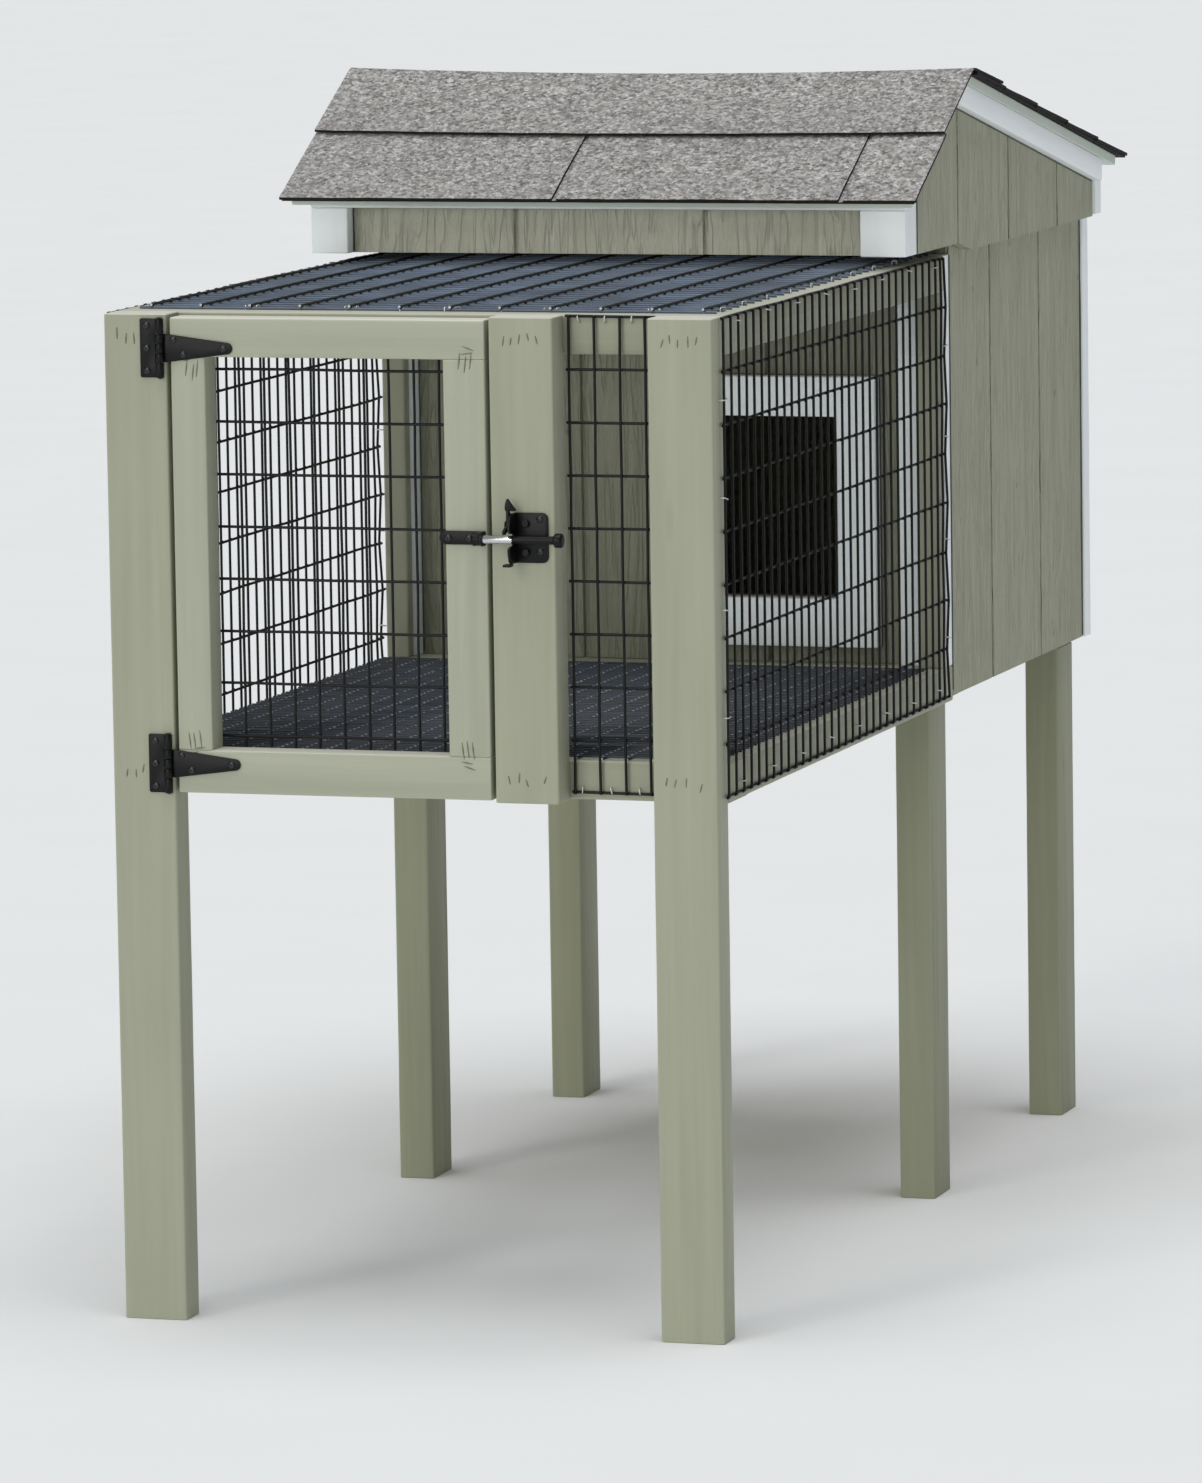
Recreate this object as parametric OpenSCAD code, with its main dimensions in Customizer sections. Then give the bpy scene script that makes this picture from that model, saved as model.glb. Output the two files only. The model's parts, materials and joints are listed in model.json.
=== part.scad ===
// Raised rabbit hutch: a wire run on six legs with a small shingled house at the back.
// Millimetres. +X right, +Y back, +Z up. The origin is on the ground at the middle of the whole hutch.
// Depths (y) are measured back from the front faces of the posts, and shifted to the origin when drawn.

/* [Run] */
// Outside width of the run
run_w = 612; // [560:1:660]
// Height of the underside of the run above the ground
run_bottom = 518; // [400:1:620]
// Height of the top of the run above the ground
run_top = 984; // [960:1:1000]
// Depth from the front faces of the posts to the front wall of the house
house_front = 854; // [840:1:870]

/* [Lumber] */
// Narrow side of the framing lumber
lum_t = 38; // [34:1:40]
// Wide side of the framing lumber
lum_w = 64; // [60:1:66]
// Thickness of the grooved siding
siding_t = 11; // [9:1:12]
// Thickness of the white trim boards
trim_t = 19; // [15:1:20]

/* [Door] */
// Left edge of the door
door_x0 = -238; // [-239:1:-236]
// Right edge of the door
door_x1 = 80; // [78:1:81]
// Thickness of the door frame
door_t = 32; // [28:1:32]
// Width of the door stile on the hinge side
hinge_stile_w = 35; // [30:1:40]
// Width of the door stile on the latch side
latch_stile_w = 42; // [36:1:44]
// Height of the door's top rail
door_top_h = 38; // [34:1:42]
// Height of the door's bottom rail
door_bottom_h = 42; // [36:1:44]

/* [House] */
// Length of the lower side walls of the house
house_len = 542; // [500:1:560]
// Height of the bottom edge of the siding
siding_bottom = 524; // [519:1:530]
// Height of the top of the walls, inside the lid
wall_top = 1004; // [996:1:1005]
// Width of the pop hole
pop_w = 150; // [120:1:160]
// Height of the pop hole
pop_h = 190; // [160:1:200]
// Middle of the pop hole, to the right of the middle of the wall
pop_x = 113; // [90:1:120]
// Height of the sill of the pop hole
pop_z = 625; // [615:1:640]

/* [Lid] */
// Outside width of the lid over its siding
lid_w = 637; // [637:1:645]
// Depth of the front faces of the lid's corner boards
lid_front = 643; // [600:1:700]
// Depth of the back end of the lid's side siding
lid_back = 1408; // [1408:1:1409]
// Height of the lid's bottom edge over the house walls
lid_bottom = 986; // [986:1:988]
// Height of the lid's bottom edge over the run
skirt_bottom = 996; // [994:1:1000]
// Width of the roof over the shingles
roof_w = 680; // [670:1:700]
// Depth of the shingles' front edge
eave_front = 607; // [600:1:612]
// Depth of the ridge
ridge_d = 840; // [820:1:860]
// Depth of the shingles' back edge
eave_back = 1483; // [1470:1:1490]
// Height of the deck at the ridge
ridge_z = 1172; // [1165:1:1190]
// Height of the deck line at the front edge
eave_front_z = 1051; // [1048:1:1054]
// Height of the deck line at the back edge
eave_back_z = 1045; // [1043:1:1048]

/* [Wire] */
// Diameter of the coated wire of the walls and top
wire_d = 2.8; // [2:0.1:2.8]
// Diameter of the coated wire of the floor
floor_wire_d = 2; // [1.6:0.1:2.4]
// Close spacing of the wires in the walls and top
mesh_close = 25.4; // [24:0.1:25.4]
// Wide spacing of the wires in the walls and top
mesh_wide = 50.8; // [48:0.1:50.8]

/* [Hinges and latch] */
// Height of the lower door hinge
lower_hinge_z = 548.5; // [548:0.5:552]
// Height of the upper door hinge
upper_hinge_z = 951.5; // [940:0.5:952]
// Length of a door hinge's strap from the pin
strap_len = 73; // [60:1:80]
// Height of the latch bar
bar_z = 773; // [700:1:800]
// Diameter of the latch bar
bar_d = 8; // [7:0.5:8]

/* [Hidden] */
$fn = 32;
half_w = run_w / 2;
rail_top_z = run_top - lum_t;
floor_z = run_bottom + lum_t;
rail_y0 = lum_t;
rail_y1 = lum_t + lum_w;
trim_y = house_front - trim_t;
house_back = house_front + house_len;
wall_in = half_w - siding_t;
leg_x = wall_in;
rail_in = half_w - lum_w;
door_gap = 4;
jamb_x0 = door_x1 + door_gap;
jamb_x1 = jamb_x0 + lum_w;
door_low_gap = 2;
door_top_gap = 3;
door_z0 = run_bottom + door_low_gap;
door_z1 = run_top - door_top_gap;
open_x0 = door_x0 + hinge_stile_w;
open_x1 = door_x1 - latch_stile_w;
open_z0 = door_z0 + door_bottom_h;
open_z1 = door_z1 - door_top_h;
stud_w = 25;
stud_inset = 2;
deck_t = 11;
floor_board_t = 12;
rear_trim_t = 24;
lid_x = lid_w / 2;
lid_in = lid_x - siding_t;
front_board_w = 44;
rake_t = 12;
rake_h = 24;
deck_overhang = 13;
deck_x = lid_x + deck_overhang;
roof_x = roof_w / 2;
fascia_z = 1043;
front_pitch = atan2(ridge_z - eave_front_z, ridge_d - eave_front);
rear_pitch = atan2(ridge_z - eave_back_z, eave_back - ridge_d);
shingle_butt = 8;
// The hutch reaches from the nose of the latch pawl to the shingles' back edge; the origin is halfway.
nose_len = 20;
nose_angle = 20;
nose_w = 5;
pivot_y = -9;
front_reach = -pivot_y + (nose_len - nose_w / 2) * cos(nose_angle) + nose_w / 2;
front_y = -(eave_back + shingle_butt * sin(rear_pitch) - front_reach) / 2;
front_run = (ridge_d - eave_front) / cos(front_pitch);
rear_run = (eave_back - ridge_d) / cos(rear_pitch);
ridge_under_y = deck_t * (1 / cos(front_pitch) - 1 / cos(rear_pitch)) / (tan(front_pitch) + tan(rear_pitch));
ridge_under_z = deck_t / cos(front_pitch) - ridge_under_y * tan(front_pitch);
shingle_thin = 4;
front_courses = 2;
rear_courses = 5;
cap_len = 118;
hinge_x = -247;
knuckle_r = 4;
pin_r = 2;
pin_gap = 0.05;
leaf_t = 2;
plate_h = 57;
strap_h = 28;
hinge_plate_x = -268;
screw_r = 1.6;
screw_head_r = 3.4;
screw_head_t = 1.6;
screw_len = 14;
bar_y = -13;
strike_x0 = 33;
strike_t = 3;
strike_h = 13;
latch_x0 = 108;
latch_w = 34;
latch_h = 48;
latch_t = 2.5;
latch_reach = 24;
pawl_t = 3;
pawl_gap = 1;
pivot_rise = 14;
pivot_z = bar_z + pivot_rise;
pivot_r = 2.5;
lid_hinge_x = 180;
lid_hinge_w = 64;
lid_hinge_h = 34;
lid_knuckle_r = 4.5;
band_t = 12;
band_back = lid_back + band_t;
lid_axis_y = band_back + lid_knuckle_r;
// How far a cut runs past the faces it opens.
over = 1;
trim_lap = 4;

// A block between two corners, with its depths measured from the front faces of the posts.
module block(x0, x1, y0, y1, z0, z1) {
    translate([x0, front_y + y0, z0]) cube([x1 - x0, y1 - y0, z1 - z0]);
}

// Draws its children on the right, and their mirror image on the left.
module both_sides() {
    children();
    mirror([1, 0, 0]) children();
}

// Round bars along each axis, from their start point.
module bar_x(x0, x1, y, z, d) {
    translate([x0, front_y + y, z]) rotate([0, 90, 0]) cylinder(d = d, h = x1 - x0);
}
module bar_up(x, y, z0, z1, d) {
    translate([x, front_y + y, z0]) cylinder(d = d, h = z1 - z0);
}
module bar_back(x, y0, y1, z, d) {
    translate([x, front_y + y0, z]) rotate([-90, 0, 0]) cylinder(d = d, h = y1 - y0);
}

// A plate cut to a side view: points are [depth, height], and it lies between x0 and x1.
module side_plate(points, x0, x1) {
    translate([x0, front_y, 0]) rotate([90, 0, 90]) linear_extrude(x1 - x0) polygon(points);
}

// Points of the roof in side view: s runs down a slope from the ridge, t is the height off the deck.
function front_pt(s, t) =
    [ridge_d - s * cos(front_pitch) - t * sin(front_pitch),
     ridge_z - s * sin(front_pitch) + t * cos(front_pitch)];
function rear_pt(s, t) =
    [ridge_d + s * cos(rear_pitch) + t * sin(rear_pitch),
     ridge_z - s * sin(rear_pitch) + t * cos(rear_pitch)];
ridge_under = [ridge_d + ridge_under_y, ridge_z - ridge_under_z];
// Height of the deck's underside at a given depth.
function under_deck(y) = y < ridge_under[0]
    ? ridge_z - (ridge_d - y) * tan(front_pitch) - deck_t / cos(front_pitch)
    : ridge_z - (y - ridge_d) * tan(rear_pitch) - deck_t / cos(rear_pitch);

// ---- posts and legs ----
module front_post() {
    color("#a3a892") block(rail_in, half_w, 0, lum_t, 0, run_top);
}
module front_left_post() mirror([1, 0, 0]) front_post();
module front_right_post() front_post();
module door_jamb() {
    color("#a3a892") block(jamb_x0, jamb_x1, 0, lum_t, run_bottom, run_top);
}
mid_leg_y = house_front + floor_board_t - lum_w;
rear_leg_y = house_back - lum_w;
module leg(y) {
    color("#8c8f78") block(leg_x - lum_t, leg_x, y, y + lum_w, 0, run_bottom);
}
module mid_left_leg() mirror([1, 0, 0]) leg(mid_leg_y);
module mid_right_leg() leg(mid_leg_y);
module rear_left_leg() mirror([1, 0, 0]) leg(rear_leg_y);
module rear_right_leg() leg(rear_leg_y);

// ---- frame of the run ----
module run_front_rails() {
    color("#969a84") for (z = [run_bottom, rail_top_z]) {
        block(-half_w, half_w, rail_y0, rail_y1, z, z + lum_t);
    }
}
module side_rails() {
    color("#969a84") block(rail_in, half_w, rail_y1, house_front, run_bottom, floor_z);
    color("#969a84") block(rail_in, half_w, rail_y1, trim_y, rail_top_z, run_top);
}
module run_left_rails() mirror([1, 0, 0]) side_rails();
module run_right_rails() side_rails();
module run_rear_rails() {
    color("#969a84") for (z = [run_bottom, rail_top_z]) {
        block(-rail_in, rail_in, trim_y - lum_w, trim_y, z, z + lum_t);
    }
}
module run_rear_studs() {
    color("#8c8f78") both_sides() {
        stud_x = half_w - stud_inset;
        block(stud_x - stud_w, stud_x, trim_y - trim_t, trim_y, floor_z, rail_top_z);
    }
}

// ---- welded wire: the closely spaced wires lie on the outside of the widely spaced ones ----
wall_wires = 10;
panel_wires = 4;
panel_wire_inset = 6;
panel_end_gap = 2;
panel_wire_x = jamb_x1 + panel_wire_inset;
side_wires = 33;
wall_top_wire = run_top - wire_d / 2;
function wall_wire_z(k) = wall_top_wire - k * mesh_wide;
wire_tail = 4;
floor_cross_wires = 59;
floor_long_wires = 11;
floor_mesh_x = 298;
floor_mesh_y0 = 48;
floor_mesh_y1 = 790;
top_cross_wires = 31;
top_long_wires = 5.5;
top_mesh_x = 292;
top_mesh_y0 = 66;
top_mesh_y1 = 832;
door_rows = 8;
door_columns = 11;
door_wire_left_lap = 27;
door_wire_right_lap = 12;
door_wire_low_lap = 4;
door_wire_top_lap = 2;
door_wire_x0 = -206.4;
door_wire_top = 928.6;
module run_floor_mesh() {
    color("#20262a") for (k = [0:floor_cross_wires - 1]) {
        y = floor_mesh_y0 + k * mesh_close / 2;
        bar_x(-floor_mesh_x, floor_mesh_x, y, floor_z + 1.5 * floor_wire_d, floor_wire_d);
    }
    color("#20262a") for (k = [-floor_long_wires:floor_long_wires]) {
        y = floor_mesh_y0 - wire_tail;
        bar_back(k * mesh_close, y, floor_mesh_y1, floor_z + floor_wire_d / 2, floor_wire_d);
    }
}
module run_top_mesh() {
    color("#20262a") for (k = [0:top_cross_wires - 1]) {
        bar_x(-top_mesh_x, top_mesh_x, top_mesh_y0 + k * mesh_close, run_top + 1.5 * wire_d, wire_d);
    }
    color("#20262a") for (k = [-top_long_wires:1:top_long_wires]) {
        bar_back(k * mesh_wide, top_mesh_y0 - wire_tail, top_mesh_y1, run_top + wire_d / 2, wire_d);
    }
}
module side_mesh() {
    color("#20262a") for (k = [0:wall_wires - 1]) {
        bar_back(half_w + wire_d / 2, mesh_close, mesh_close * side_wires, wall_wire_z(k), wire_d);
    }
    color("#20262a") for (k = [0:side_wires - 1]) {
        y = mesh_close * (k + 1);
        bar_up(half_w + 1.5 * wire_d, y, wall_wire_z(wall_wires - 1), wall_top_wire, wire_d);
    }
}
module run_left_mesh() mirror([1, 0, 0]) side_mesh();
module run_right_mesh() side_mesh();
module run_front_mesh() {
    color("#20262a") for (k = [0:wall_wires - 1]) {
        bar_x(jamb_x1 + panel_end_gap, rail_in - panel_end_gap, rail_y0 - wire_d / 2, wall_wire_z(k), wire_d);
    }
    color("#20262a") for (k = [0:panel_wires - 1]) {
        x = panel_wire_x + k * mesh_close;
        bar_up(x, rail_y0 - 1.5 * wire_d, wall_wire_z(wall_wires - 1), wall_top_wire, wire_d);
    }
}
module door_mesh() {
    color("#20262a") for (k = [0:door_rows - 1]) {
        z = door_wire_top - k * mesh_wide;
        bar_x(open_x0 - door_wire_left_lap, open_x1 + door_wire_right_lap, door_t + wire_d / 2, z, wire_d);
    }
    color("#20262a") for (k = [0:door_columns - 1]) {
        x = door_wire_x0 + k * mesh_close;
        bar_up(x, door_t + 1.5 * wire_d, open_z0 - door_wire_low_lap, open_z1 + door_wire_top_lap, wire_d);
    }
}

// ---- staples over the wire: a crown on two short legs that reach the wood ----
staple_w = 11;
staple_d = 1.2;
staple_h = 2 * wire_d + staple_d;
staple_drop = 8;
post_staple_drop = 20;
edge_staples = 6;
edge_pitch = 5 * mesh_close;
top_staple_x = 287;
top_staple_y = 72;
// Stands on z = 0 with its crown along X, over a wire that runs along Y.
module staple() {
    for (s = [-1, 1]) translate([s * (staple_w - staple_d) / 2 - staple_d / 2, -staple_d / 2, 0])
        cube([staple_d, staple_d, staple_h]);
    translate([-staple_w / 2, -staple_d / 2, staple_h - staple_d]) cube([staple_w, staple_d, staple_d]);
}
staple_rows = [wall_wire_z(0) - staple_drop, wall_wire_z(wall_wires - 1) + staple_drop];
module mesh_staples() {
    // top mesh, side edges: crowns run front to back over the wires that run across
    color("silver") both_sides() for (k = [0:edge_staples - 1]) {
        y = front_y + top_mesh_y0 + 2 * mesh_close + k * edge_pitch;
        translate([top_staple_x, y, run_top]) rotate([0, 0, 90]) staple();
    }
    // top mesh, front edge
    color("silver") for (k = [-5:2:5]) {
        translate([(k + 0.5) * mesh_wide, front_y + top_staple_y, run_top]) staple();
    }
    // side meshes, along the top and bottom rails and up the front posts
    color("silver") both_sides() for (k = [1:edge_staples], z = staple_rows) {
        translate([half_w, front_y + k * edge_pitch, z]) rotate([90, 0, 90]) staple();
    }
    color("silver") both_sides() for (k = [1:3:8]) {
        z = wall_wire_z(k) - post_staple_drop;
        translate([half_w, front_y + mesh_close, z]) rotate([90, 0, 90]) staple();
    }
    // front panel
    color("silver") for (k = [0:2:2], z = staple_rows) {
        translate([panel_wire_x + k * mesh_close, front_y + rail_y0, z]) rotate([90, 0, 0]) staple();
    }
}

// ---- lower house ----
module house_floor_frame() {
    color("#8c8f78") both_sides() {
        y0 = house_front + lum_w;
        block(wall_in - lum_w, wall_in, y0, house_back - siding_t - lum_w, run_bottom, floor_z);
    }
    color("#8c8f78") for (y = [house_front, house_back - siding_t - lum_w]) {
        block(-wall_in, wall_in, y, y + lum_w, run_bottom, floor_z);
    }
}
post_in = wall_in - lum_t;
wall_y0 = house_front + siding_t;
wall_y1 = house_back - siding_t;
floor_cut_h = 20;
cut_z0 = floor_z - over;
cut_z1 = floor_z + floor_cut_h;
module house_floor() {
    color("#c8b48a") difference() {
        block(-wall_in, wall_in, wall_y0, wall_y1, floor_z, floor_z + floor_board_t);
        both_sides() block(post_in, wall_in + over, wall_y0 - over, wall_y0 + lum_t, cut_z0, cut_z1);
        both_sides() block(post_in, wall_in + over, wall_y1 - lum_t, wall_y1 + over, cut_z0, cut_z1);
    }
}
module house_front_wall() {
    color("#7c7f6a") difference() {
        block(-wall_in, wall_in, house_front, wall_y0, floor_z, wall_top);
        block(pop_x - pop_w / 2, pop_x + pop_w / 2, house_front - over, wall_y0 + over, pop_z, pop_z + pop_h);
    }
}
module house_rear_wall() {
    color("#83866f") block(-wall_in, wall_in, wall_y1, house_back, floor_z, wall_top);
}
module side_wall() {
    color("#83866f") block(wall_in, half_w, house_front, house_back, siding_bottom, wall_top);
}
module house_left_wall() mirror([1, 0, 0]) side_wall();
module house_right_wall() side_wall();
module house_corner_studs() {
    color("#c8b48a") both_sides() for (y = [wall_y0, wall_y1 - lum_t]) {
        block(post_in, wall_in, y, y + lum_t, floor_z, wall_top);
    }
}
right_corner_board_w = 51;
left_corner_board_w = 31;
rear_band_h = 60;
rear_trim_x = half_w + trim_lap;
module house_corner_trim() {
    color("white") block(half_w - right_corner_board_w, half_w, trim_y, house_front, floor_z, run_top);
    color("white") block(-half_w, left_corner_board_w - half_w, trim_y, house_front, floor_z, run_top);
    color("white") both_sides() {
        y1 = house_back + rear_trim_t;
        block(half_w - front_board_w, rear_trim_x, house_back, y1, siding_bottom, run_top);
    }
    color("white") {
        x = half_w - front_board_w;
        block(-x, x, house_back, band_back, run_top - rear_band_h, run_top);
    }
}
pop_side_w = 42;
pop_foot_h = 51;
module pop_hole_trim() {
    pop_x0 = pop_x - pop_w / 2;
    pop_x1 = pop_x + pop_w / 2;
    color("white") for (x = [pop_x0 - pop_side_w, pop_x1]) {
        block(x, x + pop_side_w, trim_y, house_front, pop_z - pop_foot_h, pop_z + pop_h + pop_side_w);
    }
    color("white") block(pop_x0, pop_x1, trim_y, house_front, pop_z + pop_h, pop_z + pop_h + pop_side_w);
    color("white") block(pop_x0, pop_x1, trim_y, house_front, pop_z - pop_foot_h, pop_z);
}

// ---- lid ----
lid_siding_y = lid_front + trim_t;
return_strip_w = 25;
strip_y = lid_siding_y + return_strip_w;
lid_notch_gap = 2;
lid_right_board_w = 48;
lid_left_board_w = 40;
rear_board_lift = 2;
rear_band_lift = 4;
lid_rear_in = lid_back - siding_t;
module lid_front_skirt() {
    y1 = lid_siding_y + siding_t;
    color("#8a8d78") block(-lid_in, lid_in, lid_siding_y, y1, skirt_bottom, under_deck(lid_siding_y));
}
module lid_rear_skirt() {
    color("#83866f") block(-lid_in, lid_in, lid_rear_in, lid_back, lid_bottom, under_deck(lid_back));
}
module gable() {
    notch_y = house_front + lid_notch_gap;
    color("#83866f") side_plate([
        [strip_y, skirt_bottom],
        [notch_y, skirt_bottom],
        [notch_y, lid_bottom],
        [lid_back, lid_bottom],
        [lid_back, under_deck(lid_back)],
        ridge_under,
        [strip_y, under_deck(strip_y)],
    ], lid_in, lid_x);
}
module lid_left_gable() mirror([1, 0, 0]) gable();
module lid_right_gable() gable();
module lid_front_trim() {
    color("white") block(lid_x - lid_right_board_w, lid_x, lid_front, lid_siding_y, skirt_bottom, fascia_z);
    color("white") block(-lid_x, lid_left_board_w - lid_x, lid_front, lid_siding_y, skirt_bottom, fascia_z);
    color("white") both_sides() side_plate([
        [lid_siding_y, skirt_bottom],
        [strip_y, skirt_bottom],
        [strip_y, under_deck(strip_y)],
        [lid_siding_y, under_deck(lid_siding_y)],
    ], lid_in, lid_x);
}
rear_trim_top = under_deck(lid_back + rear_trim_t);
module lid_rear_trim() {
    rear_board_z = lid_bottom + rear_board_lift;
    rear_band_z = lid_bottom + rear_band_lift;
    x = lid_x - front_board_w;
    color("white") both_sides() {
        y1 = lid_back + rear_trim_t;
        block(x, lid_x + trim_lap, lid_back, y1, rear_board_z, rear_trim_top);
    }
    color("white") block(-x, x, lid_back, band_back, rear_band_z, rear_trim_top);
}
module lid_fascia() {
    color("white") block(-lid_x, lid_x, lid_front, lid_siding_y, fascia_z, under_deck(lid_front));
}
rake_back_gap = 3;
rake_rear_y = lid_back - rake_back_gap;
// The rake boards lie under the rear slope, and their front ends are cut to the front slope.
module lid_rake_boards() {
    drop = rake_h / cos(rear_pitch);
    rake_front_y = ridge_under[0] - drop / (tan(front_pitch) + tan(rear_pitch));
    color("white") both_sides() side_plate([
        [rake_front_y, under_deck(rake_front_y)],
        [rake_rear_y, under_deck(rake_rear_y) - drop],
        [rake_rear_y, under_deck(rake_rear_y)],
        ridge_under,
    ], lid_x, lid_x + rake_t);
}
block_top = 1046;
lid_frame_gap = 4;
module lid_frame() {
    frame_z = wall_top + lid_frame_gap;
    block_y = lid_siding_y + siding_t;
    color("#c8b48a") both_sides() for (y = [block_y, lid_rear_in - lum_t]) {
        block(lid_in - lum_t, lid_in, y, y + lum_t, frame_z, block_top);
    }
    color("#c8b48a") for (y = [block_y, lid_rear_in - trim_t]) {
        block(lum_t - lid_in, lid_in - lum_t, y, y + trim_t, frame_z, block_top);
    }
}

// ---- roof ----
front_overhang = 12;
rear_overhang = 22;
deck_front_s = front_run - front_overhang;
deck_rear_s = rear_run - rear_overhang;
module roof_front_deck() {
    color("#d8dad0") side_plate(
        [front_pt(0, 0), front_pt(deck_front_s, 0), front_pt(deck_front_s, -deck_t), ridge_under],
        -deck_x, deck_x);
}
module roof_rear_deck() {
    color("#d8dad0") side_plate(
        [rear_pt(0, 0), ridge_under, rear_pt(deck_rear_s, -deck_t), rear_pt(deck_rear_s, 0)],
        -deck_x, deck_x);
}
front_exposure = front_run / front_courses;
rear_exposure = rear_run / rear_courses;
module roof_front_shingles() {
    color("#8b8781") side_plate([
        front_pt(front_exposure, 0),
        front_pt(front_exposure, shingle_thin),
        front_pt(front_run, shingle_butt),
        front_pt(front_run, 0),
    ], -roof_x, roof_x);
    color("#8b8781") side_plate([
        front_pt(0, 0),
        front_pt(0, shingle_thin),
        front_pt(front_exposure, shingle_butt),
        front_pt(front_exposure, 0),
    ], -roof_x, roof_x);
}
module roof_rear_shingles() {
    color("#8b8781") for (k = [0:rear_courses - 1]) side_plate([
        rear_pt(k * rear_exposure, 0),
        rear_pt(k * rear_exposure, shingle_thin),
        rear_pt((k + 1) * rear_exposure, shingle_butt),
        rear_pt((k + 1) * rear_exposure, 0),
    ], -roof_x, roof_x);
}
// The cap lies over both upper courses; its two flaps meet on a line through the ridge.
cap_t = 3;
cap_gap = 0.05;
module roof_ridge_cap() {
    slope_t = (shingle_butt - shingle_thin) / front_exposure;
    rear_slope_t = (shingle_butt - shingle_thin) / rear_exposure;
    color("#8b8781") side_plate([
        front_pt(0, shingle_thin + cap_gap),
        rear_pt(0, shingle_thin + cap_gap),
        rear_pt(cap_len, shingle_thin + cap_len * rear_slope_t + cap_gap),
        rear_pt(cap_len, shingle_thin + cap_len * rear_slope_t + cap_t),
        rear_pt(0, shingle_thin + cap_t),
        front_pt(0, shingle_thin + cap_t),
        front_pt(cap_len, shingle_thin + cap_len * slope_t + cap_t),
        front_pt(cap_len, shingle_thin + cap_len * slope_t + cap_gap),
    ], -roof_x, roof_x);
}

// ---- screws: a pan head and a shank, drawn pointing back into the wood ----
module screw(x, y, z) {
    translate([x, front_y + y, z]) rotate([90, 0, 0]) cylinder(r = screw_head_r, h = screw_head_t);
    bar_back(x, y, y + screw_len, z, 2 * screw_r);
}
// The same, pointing forward into the back of the house.
module rear_screw(x, y, z) {
    translate([x, front_y + y, z]) rotate([-90, 0, 0]) cylinder(r = screw_head_r, h = screw_head_t);
    bar_back(x, y - screw_len, y, z, 2 * screw_r);
}
hole_reach = 10;
hole_gap = 0.2;
module screw_hole(x, y, z) {
    bar_back(x, y - hole_reach, y + hole_reach, z, 2 * screw_r + hole_gap);
}

// ---- door ----
module door_hinge_stile() {
    color("#a8ad97") block(door_x0, open_x0, 0, door_t, open_z0, open_z1);
}
module door_latch_stile() {
    color("#a8ad97") block(open_x1, door_x1, 0, door_t, open_z0, open_z1);
}
module door_top_rail() {
    color("#a8ad97") block(door_x0, door_x1, 0, door_t, open_z1, door_z1);
}
module door_bottom_rail() {
    color("#a8ad97") block(door_x0, door_x1, 0, door_t, door_z0, open_z0);
}

// ---- door hinges: a plate on the post, a strap on the door, and a pin ----
door_hinge_z = [lower_hinge_z, upper_hinge_z];
knuckle_clear = 0.4;
axis_y = -knuckle_r - knuckle_clear;
// Across from the pin and up from the middle of the strap.
strap_screws = [[13, 8], [23, -6], [strap_len - 9, 0]];
plate_screw_rise = 22;
plate_screw_inset = 7;
plate_screws = [plate_screw_rise, 0, -plate_screw_rise];
plate_screw_x = hinge_plate_x + plate_screw_inset;
plate_relief = 1;
pin_tail = 1;
pin_head_h = 1.5;
pin_head_lip = 1;
knuckle_gap = 0.4;
shoulder_x = 6;
tip_r = 5.6;
module knuckle(z0, z1) bar_up(hinge_x, axis_y, z0, z1, 2 * knuckle_r);
module hinge_bore() bar_up(hinge_x, axis_y, 0, run_top, 2 * (pin_r + pin_gap));
module strap_shape() {
    difference() {
        union() {
            polygon([[0, -strap_h / 2], [shoulder_x, -strap_h / 2], [strap_len - tip_r, -tip_r],
                [strap_len - tip_r, tip_r], [shoulder_x, strap_h / 2], [0, strap_h / 2]]);
            translate([strap_len - tip_r, 0]) circle(tip_r);
        }
        for (p = strap_screws) translate(p) circle(screw_r + hole_gap / 2);
    }
}
module door_hinge_straps() {
    color("#1c1e20") for (z = door_hinge_z) difference() {
        union() {
            translate([hinge_x, front_y, z]) rotate([90, 0, 0]) linear_extrude(leaf_t) strap_shape();
            knuckle(z - strap_h / 2, z + strap_h / 2);
        }
        hinge_bore();
    }
}
module door_hinge_plates() {
    color("#1c1e20") for (z = door_hinge_z) difference() {
        union() {
            edge_x = hinge_x - knuckle_r - plate_relief;
            block(hinge_plate_x, edge_x, -leaf_t, 0, z - plate_h / 2, z + plate_h / 2);
            for (s = [-1, 1]) {
                z0 = s > 0 ? z + strap_h / 2 + knuckle_gap : z - plate_h / 2;
                z1 = s > 0 ? z + plate_h / 2 : z - strap_h / 2 - knuckle_gap;
                block(hinge_plate_x, hinge_x, -leaf_t, 0, z0, z1);
                knuckle(z0, z1);
            }
        }
        hinge_bore();
        for (dz = plate_screws) screw_hole(plate_screw_x, 0, z + dz);
    }
}
module door_hinge_pins() {
    color("#1c1e20") for (z = door_hinge_z) {
        top = z + plate_h / 2;
        bar_up(hinge_x, axis_y, z - plate_h / 2 - pin_tail, top, 2 * pin_r);
        bar_up(hinge_x, axis_y, top, top + pin_head_h, 2 * (pin_r + pin_head_lip));
    }
}

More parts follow.
